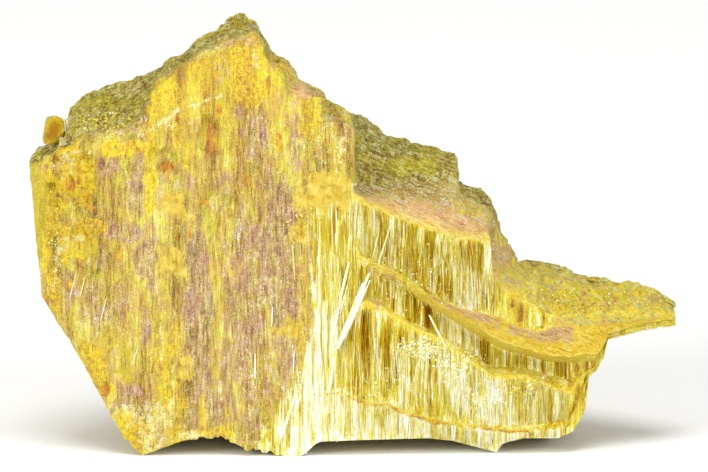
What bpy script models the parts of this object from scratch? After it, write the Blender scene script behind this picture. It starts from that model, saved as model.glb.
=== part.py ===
"""A hand-sized piece of foliated orpiment that stands on its broken underside.

The stone is one solid. Its front is a fibrous cleavage face that leans back, its right half
falls away in four steps, a wedge sticks out low on the right, and its top, sides and back are
broken rock. A small amber crystal is grown onto the top left shoulder.

The shape is a closed profile carried along X. Each profile runs up the front through the same
guide lines, over the broken top, down the back and under the base. Lengths in the tables are
millimetres in the frame of the front face: x to the right, rise up the face, depth into the
stone.
"""
import math

import bmesh
import bpy
import numpy as np
from mathutils import Vector

NAME = "orpiment"
MILLIMETRE = 0.001

# Driving dimensions of the stone, in millimetres
LEFT_END = -38.9
RIGHT_END = 39.0
LEAN_BACK = math.radians(12.0)
FACE_TO_ORIGIN = 14.55
SKEW_START = -30.0
BACK_SHRINK = 0.94
COLUMN_SPACING = 0.98
SMALLEST_COLUMN = 0.42
LINE_GAP = 0.14

# The left end of the front face, as x at each rise
LEFT_EDGE = [(19.4, -37.3), (23.4, -37.7), (27.7, -38.2), (30.8, -38.4), (34.4, -38.9)]

# The upper edge of the stone as seen square to the face, as (x, rise)
TOP_EDGE = [
    (-38.9, 35.4), (-38.5, 36.2), (-37.7, 37.1), (-35.5, 38.3), (-34.4, 39.2), (-34.0, 41.9),
    (-32.0, 43.7), (-29.8, 44.5), (-26.9, 45.4), (-24.0, 46.0), (-22.6, 47.3), (-20.4, 48.7),
    (-16.8, 51.1), (-15.1, 52.7), (-13.9, 53.4), (-13.2, 53.3), (-12.6, 52.3), (-11.8, 52.2),
    (-10.3, 49.6), (-9.6, 48.5), (-8.3, 47.9), (-7.1, 46.8), (-6.6, 45.5), (-3.6, 43.8),
    (-3.2, 42.7), (-0.2, 41.5), (1.7, 40.8), (3.8, 38.9), (7.7, 37.7), (12.4, 36.6),
    (12.8, 33.1), (14.6, 32.5), (16.8, 31.1), (17.4, 29.8), (17.9, 26.3), (19.1, 24.8),
    (19.9, 23.4), (22.6, 23.5), (27.1, 22.1), (32.2, 20.9), (36.5, 20.2), (39.0, 18.2),
]

# The lower edge of the stone in the same view
LOW_EDGE = [
    (-37.3, 19.4), (-36.2, 17.5), (-33.4, 13.0), (-31.9, 10.6), (-30.5, 7.7), (-28.1, 4.0),
    (-26.5, 1.3), (-25.1, 0.3), (-22.6, 1.1), (-20.6, 1.9), (-15.6, 2.3), (-13.2, 0.8),
    (-7.0, 0.1), (-5.9, 0.2), (-4.1, 1.8), (1.0, 2.0), (9.1, 2.2), (12.0, 1.9), (14.2, 1.3),
    (17.3, 0.5), (18.1, 1.6), (20.4, 2.2), (24.7, 2.2), (26.6, 3.1), (28.1, 5.8), (28.4, 9.5),
    (29.4, 10.3), (30.3, 12.1), (30.7, 14.0), (34.3, 14.9), (39.0, 15.7),
]

# Depth of the plain front face along x
FACE_DEPTH = [(-38.9, 2.2), (-35.0, 0.8), (-30.0, 0.15), (-20.0, 0.0), (39.0, 0.0)]

# The guide lines from the bottom up. Each has its line on the face as (x, rise), its depth as
# (x, depth), and the number of rows from it to the next line.
GUIDES = [
    {
        "name": "lower edge",
        "line": LOW_EDGE,
        "depth": [(-38.9, 2.6), (-36.0, 1.5), (-30.0, 0.8), (-20.0, 0.4), (-5.0, 0.3), (2.0, 0.6),
                  (8.0, 1.2), (14.0, 2.2), (20.0, 1.6), (26.0, 1.6), (30.5, 3.0), (39.0, 5.6)],
        "rows": 2,
    },
    {
        "name": "crest of the lowest step",
        "line": [(-4.4, 8.0), (-1.5, 7.8), (1.6, 6.4), (4.0, 6.2), (6.8, 4.9), (9.5, 4.1),
                 (13.6, 3.5), (20.1, 2.9), (26.0, 3.6), (28.5, 9.8)],
        "depth": [(-6.0, 0.0), (-2.0, -0.1), (2.0, -0.2), (10.0, 0.2), (18.0, 0.8), (24.0, 1.2),
                  (30.5, 2.8), (39.0, 5.5)],
        "rows": 1,
    },
    {
        "name": "foot of the third step",
        "line": [(-4.4, 8.4), (-1.5, 8.3), (1.6, 6.9), (4.0, 6.7), (6.8, 5.4), (9.5, 4.6),
                 (13.6, 4.0), (20.1, 3.5), (26.0, 4.4), (28.5, 10.0)],
        "depth": [(-6.0, 0.0), (-2.0, 0.4), (2.0, 0.9), (10.0, 1.4), (18.0, 2.0), (26.0, 2.1),
                  (30.5, 2.8), (39.0, 5.5)],
        "rows": 3,
    },
    {
        "name": "crest of the third step",
        "line": [(-1.0, 19.0), (1.7, 18.5), (4.0, 17.5), (6.8, 15.8), (10.9, 14.0), (13.6, 12.1),
                 (16.7, 9.7), (21.2, 9.5), (26.1, 7.6), (28.5, 10.2)],
        "depth": [(-2.0, 0.0), (2.0, 0.0), (8.0, 0.2), (14.0, 0.5), (18.0, 0.9), (24.0, 1.3),
                  (30.5, 2.7), (39.0, 5.5)],
        "rows": 1,
    },
    {
        "name": "foot of the second step",
        "line": [(-1.0, 19.5), (1.7, 19.0), (4.0, 18.0), (6.8, 16.3), (10.9, 14.5), (13.6, 12.7),
                 (16.7, 10.8), (21.2, 10.5), (26.1, 9.2), (28.5, 10.4)],
        "depth": [(0.0, 0.1), (3.0, 0.8), (8.0, 1.4), (13.0, 2.0), (17.0, 3.1), (24.0, 3.3),
                  (28.0, 2.6), (30.5, 2.7), (39.0, 5.4)],
        "rows": 3,
    },
    {
        "name": "undercut of the second step",
        "line": [(-0.3, 23.4), (0.5, 23.3), (4.7, 21.4), (9.5, 18.0), (13.6, 15.4), (18.1, 12.9),
                 (23.6, 11.4), (29.1, 11.4), (30.7, 14.2)],
        "depth": [(0.0, 0.1), (4.0, 1.1), (10.0, 2.0), (14.0, 2.9), (20.0, 3.5), (26.0, 3.1),
                  (28.5, 2.8), (30.5, 2.7), (39.0, 5.4)],
        "rows": 1,
    },
    {
        "name": "crest of the second step",
        "line": [(-0.3, 24.1), (0.5, 24.0), (2.6, 23.2), (6.8, 21.0), (9.5, 18.7), (13.6, 16.2),
                 (18.1, 13.8), (23.6, 12.2), (29.1, 12.1), (30.2, 12.8), (31.5, 15.0)],
        "depth": [(0.0, 0.0), (4.0, 0.3), (10.0, 0.4), (16.0, 0.5), (22.0, 0.6), (28.0, 1.4),
                  (31.0, 2.2), (39.0, 5.2)],
        "rows": 2,
    },
    {
        "name": "foot of the first step",
        "line": [(-0.3, 24.5), (0.5, 24.4), (4.7, 22.5), (6.8, 21.5), (8.8, 19.9), (10.5, 18.9),
                 (12.5, 18.0), (17.9, 16.9), (19.0, 16.1), (22.3, 15.1), (24.4, 16.0),
                 (30.5, 16.0), (39.0, 16.8)],
        "depth": [(-0.3, 0.0), (1.0, 0.5), (4.0, 1.4), (9.0, 2.2), (14.0, 2.9), (20.0, 3.4),
                  (24.0, 3.0), (30.0, 3.4), (39.0, 5.6)],
        "rows": 4,
    },
    {
        "name": "crest of the first step",
        "line": [(-0.3, 31.6), (1.3, 30.5), (4.0, 29.4), (8.8, 27.7), (11.6, 26.8), (13.6, 26.4),
                 (16.4, 26.3), (16.9, 21.8), (19.5, 19.4), (21.5, 18.6), (23.6, 17.2),
                 (30.5, 17.4), (39.0, 17.2)],
        "depth": [(-1.0, 0.0), (0.0, 0.2), (3.0, 0.8), (8.0, 1.1), (15.0, 1.3), (16.5, 1.6),
                  (17.1, 3.4), (24.0, 3.8), (30.0, 4.2), (39.0, 5.9)],
        "rows": 3,
    },
    {
        "name": "head of the slope",
        "line": [(-0.3, 32.4), (0.5, 32.6), (3.3, 32.6), (5.7, 33.2), (9.3, 33.5), (12.4, 33.0),
                 (12.8, 31.9), (16.8, 29.8), (17.4, 28.4), (17.9, 25.0), (19.3, 22.3),
                 (21.5, 21.5), (24.8, 19.0), (30.5, 18.7), (39.0, 17.6)],
        "depth": [(-2.0, 0.1), (0.0, 0.4), (0.7, 2.6), (4.0, 4.2), (9.0, 5.0), (16.0, 5.2),
                  (19.0, 5.6), (30.0, 5.8), (39.0, 6.6)],
        "rows": 3,
    },
    {
        "name": "lip under the broken top",
        "line": [(-38.9, 35.0), (-33.5, 37.2), (-29.1, 37.8), (-26.3, 38.6), (-25.0, 40.4),
                 (-23.7, 43.4), (-22.4, 45.6), (-21.3, 46.7), (-17.5, 48.2), (-14.8, 49.0),
                 (-11.7, 50.5), (-10.4, 48.4), (-8.6, 45.9), (-7.9, 43.3), (-3.7, 43.2),
                 (-3.3, 40.2), (0.1, 40.0), (0.8, 39.4), (5.7, 36.4), (12.4, 35.8), (12.8, 32.6),
                 (17.4, 29.0), (19.3, 23.2), (24.8, 21.2), (30.5, 20.0), (39.0, 17.9)],
        "depth": [(-38.9, 3.4), (-34.0, 1.8), (-28.0, 0.9), (-20.0, 0.5), (-1.0, 0.5), (0.1, 0.8),
                  (0.8, 3.6), (5.0, 5.3), (12.4, 5.8), (17.0, 6.0), (20.0, 6.8), (39.0, 7.0)],
        "rows": 3,
    },
    {
        "name": "upper edge",
        "line": TOP_EDGE,
        "depth": [(-38.9, 4.6), (-36.0, 5.5), (-30.0, 7.5), (-24.0, 6.0), (-22.0, 4.0),
                  (-17.0, 4.2), (-13.0, 5.0), (-10.0, 3.0), (-4.0, 2.8), (0.0, 3.5), (1.0, 7.5),
                  (5.0, 8.8), (12.4, 9.2), (13.0, 7.6), (17.4, 6.6), (20.0, 8.6), (30.0, 8.4),
                  (39.0, 7.6)],
        "rows": 0,
    },
]
FIRST_STEPPED_X = -9.0
FULLY_STEPPED_X = -1.0

# The planes that the back is broken along: depth at the middle of the face's foot, and the
# change of depth per millimetre of x and of rise
BACK_PLANES = [
    (26.6, 0.02, -0.08), (33.4, 0.05, -0.44), (32.2, 0.56, -0.06), (32.4, -0.60, -0.04),
    (21.5, 0.03, 0.42), (35.5, -0.30, -0.36), (38.0, 0.46, -0.27),
]

# Rows of the back from the top down: share of the height, and how far the ledge there is set
# into the stone
BACK_ROWS = [
    (0.985, 0.0), (0.87, 0.2), (0.82, -1.1), (0.70, -0.9), (0.58, -0.5), (0.53, 1.0),
    (0.38, 0.8), (0.26, -0.6), (0.13, -0.2), (0.06, 0.6),
]
THINNEST = 1.6
LEDGE_WANDER = 0.03
LEDGE_WAVE = 7.0
LEDGE_PHASE = 1.7
LEDGES_BETWEEN = (0.2, 0.95)
BACK_SKEW = 0.8

# The row that breaks the upper edge over to the back
TOP_SHRINK = 0.985
TOP_DROP = 0.35
TOP_SHARE = 0.45

# Low relief on the plain part of the face: middle x and rise, half sizes, height towards the
# viewer
FACE_PATCHES = [
    (-13.2, 16.5, 6.9, 14.0, -0.45),
    (-32.2, 24.8, 2.8, 2.4, 0.55),
    (-33.3, 33.6, 3.2, 2.8, -0.70),
    (-3.2, 31.6, 3.0, 2.6, 0.40),
    (-22.6, 35.0, 1.6, 1.8, -0.60),
    (-1.2, 19.5, 1.3, 5.0, 0.45),
    (-26.5, 9.0, 3.6, 6.0, 0.35),
]

# The two rows of the base, from the back: how far it shrinks sideways, its depth where the
# stone is thick, its share of the depth where it is thin, and its lift where it hangs clear
BASE_ROWS = [(0.965, 19.5, 0.86, 0.10), (0.985, 12.0, 0.60, 0.03)]
BASE_EDGE_RISE = 2.45
BASE_STEP = 0.1

# Relief, in millimetres. Each pattern has its height and the size of its lumps.
FLUTE_HEIGHT = 0.24
FLUTE_WIDTH = 0.8
FACE_SWELL = 0.22
FACE_SWELL_SIZE = 4.0
BAND_ROUGHNESS = 0.75
BAND_LUMP = 2.4
BACK_ROUGHNESS = 1.1
BACK_LUMP = 7.5
BACK_GRIT = 3.1

# Share of the full flutes on each curtain, by the number of the guide line at its foot
CURTAINS = {0: 0.6, 2: 1.0, 4: 1.0, 7: 1.0}

# The amber crystal on the left shoulder, and the slanting faces of its point
AMBER_CENTRE = (-35.8, 38.5, 5.6)
AMBER_RADIUS = 1.75
AMBER_LENGTH = 4.8
AMBER_SIDES = 6
AMBER_TURN = (-16.0, -9.0, 24.0)
AMBER_POINT_FACES = [(0.0, 1.0), (130.0, 0.8), (235.0, 0.9)]
AMBER_POINT_RISE = 0.72

# Finish of the plain solid
ORPIMENT_COLOUR = (0.72, 0.52, 0.10, 1.0)
ORPIMENT_ROUGHNESS = 0.42
ORPIMENT_METALLIC = 0.0


def clear_scene():
    """Remove whatever the file opened with."""
    for thing in list(bpy.data.objects):
        bpy.data.objects.remove(thing, do_unlink=True)


def read_line(points, x):
    """Height of a hand-drawn line at x."""
    table = np.array(points)
    return np.interp(x, table[:, 0], table[:, 1])


def ease(low, high, value):
    """0 below low, 1 above high, and an S-curve between them."""
    share = np.clip((value - low) / (high - low), 0.0, 1.0)
    return share * share * (3.0 - 2.0 * share)


def lattice_value(cell, seed):
    """A repeatable number from -1 to 1 for each whole-number cell."""
    mixed = cell[..., 0] * 374761393 + cell[..., 1] * 668265263 + cell[..., 2] * 1274126177
    mixed = (mixed + seed * 144269504) & 0xFFFFFFFF
    mixed = ((mixed ^ (mixed >> 13)) * 1103515245) & 0xFFFFFFFF
    mixed = mixed ^ (mixed >> 16)
    return (mixed & 0xFFFF) / 32767.5 - 1.0


def value_noise(points, spacing, seed):
    """Smooth noise from -1 to 1: lattice values blended along the three axes in turn."""
    scaled = np.asarray(points) / spacing
    cell = np.floor(scaled).astype(np.int64)
    part = scaled - cell
    part = part * part * (3.0 - 2.0 * part)
    total = np.zeros(scaled.shape[:-1])
    for corner in range(8):
        offset = np.array([corner & 1, (corner >> 1) & 1, (corner >> 2) & 1])
        weight = np.prod(np.where(offset == 1, part, 1.0 - part), axis=-1)
        total += weight * lattice_value(cell + offset, seed)
    return total


def column_places():
    """Places of the profiles along x: every corner of both edges, then even filling."""
    corners = [x for x, _ in TOP_EDGE] + [x for x, _ in LOW_EDGE if x > SKEW_START]
    kept = [LEFT_END]
    for x in sorted(corners):
        if x - kept[-1] > SMALLEST_COLUMN and RIGHT_END - x > SMALLEST_COLUMN:
            kept.append(x)
    kept.append(RIGHT_END)
    filled = []
    for start, end in zip(kept[:-1], kept[1:]):
        count = max(1, round((end - start) / COLUMN_SPACING))
        filled.extend(np.linspace(start, end, count, endpoint=False))
    filled.append(RIGHT_END)
    return np.array(filled)


def skew_at(x):
    """How far a profile follows the slanting left end: 1 at the end, 0 from SKEW_START on."""
    return np.clip((SKEW_START - x) / (SKEW_START - LEFT_END), 0.0, 1.0)


def edge_shift(x, rise):
    """Sideways shift that turns the first profile into the left edge."""
    table = np.array(LEFT_EDGE)
    return skew_at(x) * (np.interp(rise, table[:, 0], table[:, 1]) - LEFT_END)


def guide_values(x):
    """Rise and depth of every guide line at every column, kept in order and apart."""
    count = len(GUIDES)
    low_x = x + skew_at(x) * (LEFT_EDGE[0][1] - LEFT_END)
    low = read_line(LOW_EDGE, low_x)
    lip = read_line(GUIDES[-2]["line"], x)
    top = read_line(TOP_EDGE, x)
    rows = [guide["rows"] for guide in GUIDES]
    shares = np.cumsum([0] + rows[:-2]) / sum(rows[:-2])
    own = ease(FIRST_STEPPED_X, FULLY_STEPPED_X, x)
    face = read_line(FACE_DEPTH, x)
    rise = np.zeros((count, len(x)))
    depth = np.zeros((count, len(x)))
    for index, guide in enumerate(GUIDES):
        own_depth = read_line(guide["depth"], x)
        if index == 0:
            rise[index] = low
            depth[index] = own_depth
        elif index == count - 1:
            rise[index] = top
            depth[index] = own_depth
        elif index == count - 2:
            rise[index] = lip
            depth[index] = own_depth
        else:
            even = low + (lip - low) * shares[index]
            rise[index] = even + (read_line(guide["line"], x) - even) * own
            depth[index] = face + (own_depth - face) * own
    for index in range(1, count):
        rise[index] = np.maximum(rise[index], rise[index - 1] + LINE_GAP)
    for index in range(count - 2, -1, -1):
        rise[index] = np.minimum(rise[index], rise[index + 1] - LINE_GAP)
    return rise, depth


def front_rows(x):
    """Rows of the front from the lower to the upper edge, with what each row is made of."""
    rise, depth = guide_values(x)
    rows = []
    for index, guide in enumerate(GUIDES[:-1]):
        for step in range(guide["rows"]):
            share = step / guide["rows"]
            row_rise = rise[index] + (rise[index + 1] - rise[index]) * share
            row_depth = depth[index] + (depth[index + 1] - depth[index]) * share
            rows.append((row_rise, row_depth, index, share))
    rows.append((rise[-1], depth[-1], len(GUIDES) - 1, 0.0))
    return rows


def flute_strength(index, share, x):
    """Flutes stand on the four curtains of the steps and fade out on their crests."""
    inside = math.sin(math.pi * share)
    return CURTAINS.get(index, 0.0) * inside * ease(-3.0, 3.0, x)


def patch_height(x, rise):
    """Height of the low flakes and hollows of the face, each a block with soft edges."""
    total = np.zeros_like(x)
    for middle_x, middle_rise, half_x, half_rise, height in FACE_PATCHES:
        across = 1.0 - ease(half_x - 0.9, half_x, np.abs(x - middle_x))
        along = 1.0 - ease(half_rise * 0.7, half_rise, np.abs(rise - middle_rise))
        total += height * across * along
    return total


def front_points(x):
    """The front as an array of (row, column, 3) in face millimetres, with its relief."""
    rows = front_rows(x)
    points = np.zeros((len(rows), len(x), 3))
    flute = value_noise(np.stack([x, x * 0.0, x * 0.0], axis=-1), FLUTE_WIDTH, 3)
    for number, (rise, depth, index, share) in enumerate(rows):
        points[number, :, 0] = x + edge_shift(x, rise)
        points[number, :, 1] = rise
        points[number, :, 2] = depth + flute * FLUTE_HEIGHT * flute_strength(index, share, x)
    inner = points[1:-1]
    inner[..., 2] += FACE_SWELL * value_noise(inner * (1.0, 0.45, 0.0), FACE_SWELL_SIZE, 11)
    inner[..., 2] -= patch_height(inner[..., 0], inner[..., 1])
    band = [number for number, row in enumerate(rows) if row[2] >= len(GUIDES) - 2]
    for number in band:
        amount = BAND_ROUGHNESS * (0.35 if rows[number][2] == len(GUIDES) - 1 else 1.0)
        points[number, :, 2] += amount * value_noise(points[number], BAND_LUMP, 23)
    return points


def back_depth(x, rise):
    """Depth of the back at a place on the face: the nearest of its planes."""
    planes = [base + by_x * x + by_rise * rise for base, by_x, by_rise in BACK_PLANES]
    return np.min(planes, axis=0)


def back_points(x):
    """The back, base and rims as an array of (row, column, 3), from the top edge round."""
    rise, depth = guide_values(x)
    low = rise[0]
    top = rise[-1]
    height = top - low
    nearest = np.maximum(depth[0], depth[-1]) + THINNEST
    rows = []
    under_top = np.maximum(back_depth(x, top), nearest)
    rows.append((x * TOP_SHRINK, top - TOP_DROP, depth[-1] + TOP_SHARE * (under_top - depth[-1])))
    for number, (share, setback) in enumerate(BACK_ROWS):
        wanders = LEDGES_BETWEEN[0] < share < LEDGES_BETWEEN[1]
        wander = LEDGE_WANDER * wanders * np.sin(x / LEDGE_WAVE + number * LEDGE_PHASE)
        row_rise = low + height * (share + wander)
        row_depth = np.maximum(back_depth(x, row_rise) - setback, nearest)
        rows.append((x * BACK_SHRINK, row_rise, row_depth))
    lifted = ease(BASE_EDGE_RISE, BASE_EDGE_RISE * 3.0, low) * height
    room = np.maximum(back_depth(x, low), nearest) - depth[0]
    for shrink, limit, portion, lift in BASE_ROWS:
        row_depth = np.minimum(depth[0] + room * portion, limit)
        row_rise = np.maximum(row_depth * math.tan(LEAN_BACK), low + BASE_STEP + lifted * lift)
        rows.append((x * shrink, row_rise, row_depth))
    points = np.zeros((len(rows), len(x), 3))
    for number, row in enumerate(rows):
        points[number, :, 0] = row[0] + edge_shift(x, row[1]) * BACK_SKEW
        points[number, :, 1] = row[1]
        points[number, :, 2] = row[2]
    return points


def rest_on_plane(points):
    """Keep every point on or above the plane that the stone stands on."""
    points[..., 1] = np.maximum(points[..., 1], points[..., 2] * math.tan(LEAN_BACK))
    return points


def roughen_back(points, first_row):
    """Break up the back and the rims, and leave the two base rows flat."""
    rough = points[first_row:-2]
    ends = ease(0.0, 5.0, np.minimum(rough[..., 0] - LEFT_END, RIGHT_END - rough[..., 0]))
    amount = BACK_ROUGHNESS * (0.3 + 0.7 * ends)
    for axis, seed in ((0, 41), (1, 43), (2, 47)):
        wide = value_noise(rough, BACK_LUMP, seed)
        fine = value_noise(rough, BACK_GRIT, seed + 100)
        rough[..., axis] += amount * (0.7 * wide + 0.3 * fine) * (0.5, 0.6, 1.0)[axis]
    return points


def to_world(points):
    """Face millimetres to metres in the part's frame, +Z up."""
    rise = points[..., 1]
    depth = points[..., 2]
    world = np.empty_like(points)
    world[..., 0] = points[..., 0]
    world[..., 1] = depth * math.cos(LEAN_BACK) + rise * math.sin(LEAN_BACK) - FACE_TO_ORIGIN
    world[..., 2] = rise * math.cos(LEAN_BACK) - depth * math.sin(LEAN_BACK)
    return world * MILLIMETRE


def stone_rings():
    """All profiles as an array of (row, column, 3): front rows, then back and base rows."""
    x = column_places()
    front = front_points(x)
    points = np.concatenate([front, back_points(x)])
    points = roughen_back(points, len(front))
    return rest_on_plane(points)


def loft(mesh, rings):
    """Skin neighbouring closed profiles with quads, and close both ends with a fan."""
    columns = [[mesh.verts.new(point) for point in rings[:, number]]
               for number in range(rings.shape[1])]
    rows = rings.shape[0]
    for left, right in zip(columns[:-1], columns[1:]):
        for row in range(rows):
            after = (row + 1) % rows
            mesh.faces.new((left[row], right[row], right[after], left[after]))
    for column in (columns[0], columns[-1]):
        end = mesh.faces.new(column)
        bmesh.ops.poke(mesh, faces=[end])


def add_object(name, mesh):
    """Put a bmesh into the scene as a named object."""
    bmesh.ops.recalc_face_normals(mesh, faces=mesh.faces[:])
    data = bpy.data.meshes.new(name)
    mesh.to_mesh(data)
    mesh.free()
    thing = bpy.data.objects.new(name, data)
    bpy.context.scene.collection.objects.link(thing)
    return thing


def make_stone():
    """The body of the stone."""
    mesh = bmesh.new()
    loft(mesh, to_world(stone_rings()))
    bmesh.ops.triangulate(mesh, faces=mesh.faces[:], quad_method="BEAUTY")
    return add_object(NAME, mesh)


def make_amber_crystal():
    """A short six-sided crystal, cut to a blunt point by slanting faces, sunk in the shoulder."""
    mesh = bmesh.new()
    radius = AMBER_RADIUS * MILLIMETRE
    length = AMBER_LENGTH * MILLIMETRE
    bmesh.ops.create_cone(
        mesh, cap_ends=True, segments=AMBER_SIDES, radius1=radius, radius2=radius * 0.9,
        depth=length)
    for bearing, height in AMBER_POINT_FACES:
        angle = math.radians(bearing)
        outward = Vector((math.cos(angle), math.sin(angle), AMBER_POINT_RISE)).normalized()
        place = outward * (radius * 0.8 * height) + Vector((0.0, 0.0, length * 0.33))
        everything = mesh.verts[:] + mesh.edges[:] + mesh.faces[:]
        cut = bmesh.ops.bisect_plane(
            mesh, geom=everything, plane_co=place, plane_no=outward, clear_outer=True)
        rim = [item for item in cut["geom_cut"] if isinstance(item, bmesh.types.BMEdge)]
        bmesh.ops.edgeloop_fill(mesh, edges=rim)
    thing = add_object("amber_crystal_guide", mesh)
    thing.location = to_world(np.array(AMBER_CENTRE))
    thing.rotation_euler = [math.radians(turn) for turn in AMBER_TURN]
    thing.hide_render = True
    thing.display_type = "WIRE"
    return thing


def join_solids(body, extra):
    """Fuse a second solid into the first."""
    union = body.modifiers.new("union_" + extra.name, "BOOLEAN")
    union.operation = "UNION"
    union.solver = "EXACT"
    union.object = extra


def make_material():
    """Golden yellow orpiment with a soft resinous gloss."""
    material = bpy.data.materials.new("orpiment_stone")
    material.use_nodes = True
    shader = material.node_tree.nodes["Principled BSDF"]
    shader.inputs["Base Color"].default_value = ORPIMENT_COLOUR
    shader.inputs["Roughness"].default_value = ORPIMENT_ROUGHNESS
    shader.inputs["Metallic"].default_value = ORPIMENT_METALLIC
    return material


def main():
    """Make the stone."""
    clear_scene()
    stone = make_stone()
    stone.data.materials.append(make_material())
    join_solids(stone, make_amber_crystal())


main()
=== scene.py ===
# %% [markdown]
# # A broken piece of foliated orpiment
# Orpiment is a soft, golden yellow arsenic sulfide. It grows in thin leaves that part into
# silky fibres, so a broken piece shows one bright striated cleavage face, curtains of fibres
# that hang below thin ledges, and a dull crust where the rock around it was. This lesson
# dresses the plain solid of such a stone. Every surface is worked out with numpy from a few
# drawn lines, and every finish is made of nodes, so nothing depends on a picture.

# %% Load the fixed frame
import math

import bpy
import numpy as np
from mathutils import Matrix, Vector


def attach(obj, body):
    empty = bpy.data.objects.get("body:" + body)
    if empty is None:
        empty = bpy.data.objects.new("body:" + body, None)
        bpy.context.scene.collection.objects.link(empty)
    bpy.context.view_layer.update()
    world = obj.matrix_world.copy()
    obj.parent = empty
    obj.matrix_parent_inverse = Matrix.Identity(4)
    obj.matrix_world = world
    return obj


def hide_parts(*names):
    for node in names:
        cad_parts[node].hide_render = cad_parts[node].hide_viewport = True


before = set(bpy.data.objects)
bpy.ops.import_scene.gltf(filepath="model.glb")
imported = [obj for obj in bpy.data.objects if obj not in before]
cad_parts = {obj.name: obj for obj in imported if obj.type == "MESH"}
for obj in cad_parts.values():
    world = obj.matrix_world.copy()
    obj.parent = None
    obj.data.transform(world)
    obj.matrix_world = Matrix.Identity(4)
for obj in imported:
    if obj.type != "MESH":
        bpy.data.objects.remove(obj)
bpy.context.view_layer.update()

NODE = "orpiment"
BODY = "root"
MILLIMETRE = 0.001

# %% [markdown]
# ## The frame of the front face
# The stone is easiest to describe square to its front face: x to the right, rise up the face
# and depth into the stone, all in millimetres. The face leans back, so one small turn about X
# brings that frame into the world. The same turn, in a Mapping node, later lines the fibre
# pattern up with the face.

# %% Face frame
LEAN_BACK = math.radians(12.0)
FACE_TO_ORIGIN = 14.55
LEFT_END = -38.9
RIGHT_END = 39.0


def to_world(points):
    """Turn face millimetres into world metres.

    y is depth * cos(lean) + rise * sin(lean), and z is rise * cos(lean) - depth * sin(lean).
    """
    rise = points[..., 1]
    depth = points[..., 2]
    world = np.empty(points.shape)
    world[..., 0] = points[..., 0]
    world[..., 1] = depth * math.cos(LEAN_BACK) + rise * math.sin(LEAN_BACK) - FACE_TO_ORIGIN
    world[..., 2] = rise * math.cos(LEAN_BACK) - depth * math.sin(LEAN_BACK)
    return world * MILLIMETRE


print("10 mm up the face, in world metres:", to_world(np.array([0.0, 10.0, 0.0])).round(5))

# %% [markdown]
# ## Three small tools: a drawn line, an S-curve and noise
# A drawn line is a short list of corners, and numpy reads it at any x. The S-curve
# fades one thing into another. The noise is a repeatable number for each cell of a lattice,
# blended between cells: the same seed gives the same stone each time. Adding it to itself at
# half the size again and again gives the broken look of rock.

# %% Lines, S-curves and noise
# Large whole numbers that scatter the bits of a small one
SCATTER = (374761393, 668265263, 1274126177)
SCATTER_SEED = 144269504
SCATTER_AGAIN = 1103515245
ALL_BITS = 0xFFFFFFFF
HALF_BITS = 0xFFFF
OCTAVE_SIZE = 0.5
OCTAVE_HEIGHT = 0.55


def read_line(points, x):
    """Height of a drawn line at x."""
    table = np.array(points)
    return np.interp(x, table[:, 0], table[:, 1])


def ease(low, high, value):
    """0 below low, 1 above high, and the curve 3t^2 - 2t^3 between them."""
    share = np.clip((value - low) / (high - low), 0.0, 1.0)
    return share * share * (3.0 - 2.0 * share)


def lattice_value(cell, seed):
    """A repeatable number from -1 to 1 for each whole-number cell, by mixing its bits."""
    mixed = sum(cell[..., axis] * number for axis, number in enumerate(SCATTER))
    mixed = (mixed + seed * SCATTER_SEED) & ALL_BITS
    mixed = ((mixed ^ (mixed >> 13)) * SCATTER_AGAIN) & ALL_BITS
    mixed = mixed ^ (mixed >> 16)
    return (mixed & HALF_BITS) * 2.0 / HALF_BITS - 1.0


def value_noise(points, spacing, seed):
    """Smooth noise from -1 to 1: lattice values blended along the three axes in turn."""
    scaled = np.asarray(points) / spacing
    cell = np.floor(scaled).astype(np.int64)
    part = scaled - cell
    part = part * part * (3.0 - 2.0 * part)
    total = np.zeros(scaled.shape[:-1])
    for corner in range(8):
        offset = np.array([corner & 1, (corner >> 1) & 1, (corner >> 2) & 1])
        weight = np.prod(np.where(offset == 1, part, 1.0 - part), axis=-1)
        total += weight * lattice_value(cell + offset, seed)
    return total


def rock_noise(points, spacing, seed, octaves=3):
    """Noise with grit: each octave is smaller and lower than the last by fixed shares."""
    total = np.zeros(points.shape[:-1])
    for octave in range(octaves):
        size = spacing * OCTAVE_SIZE ** octave
        total += OCTAVE_HEIGHT ** octave * value_noise(points, size, seed + octave)
    return total


def fibre_noise(x, rise, width, length, seed):
    """Noise drawn out along the fibres: cells of one width across and one length along."""
    stretched = np.stack([x / width, rise / length, np.zeros_like(x)], axis=-1)
    return value_noise(stretched, 1.0, seed)


noise_trial = rock_noise(np.linspace((0.0, 0.0, 0.0), (40.0, 20.0, 10.0), 500), 1.0, 1)
print("rock noise runs from", round(noise_trial.min(), 2), "to", round(noise_trial.max(), 2))

# %% [markdown]
# ## The outline and the guide lines
# The stone's shape is carried by lines that a maker would draw on the face first: its lower
# edge, the crest and the foot of each step, the lip of the broken top and the upper edge. The
# left part is one plain face, so there the lines between the edges simply share its height.

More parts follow.
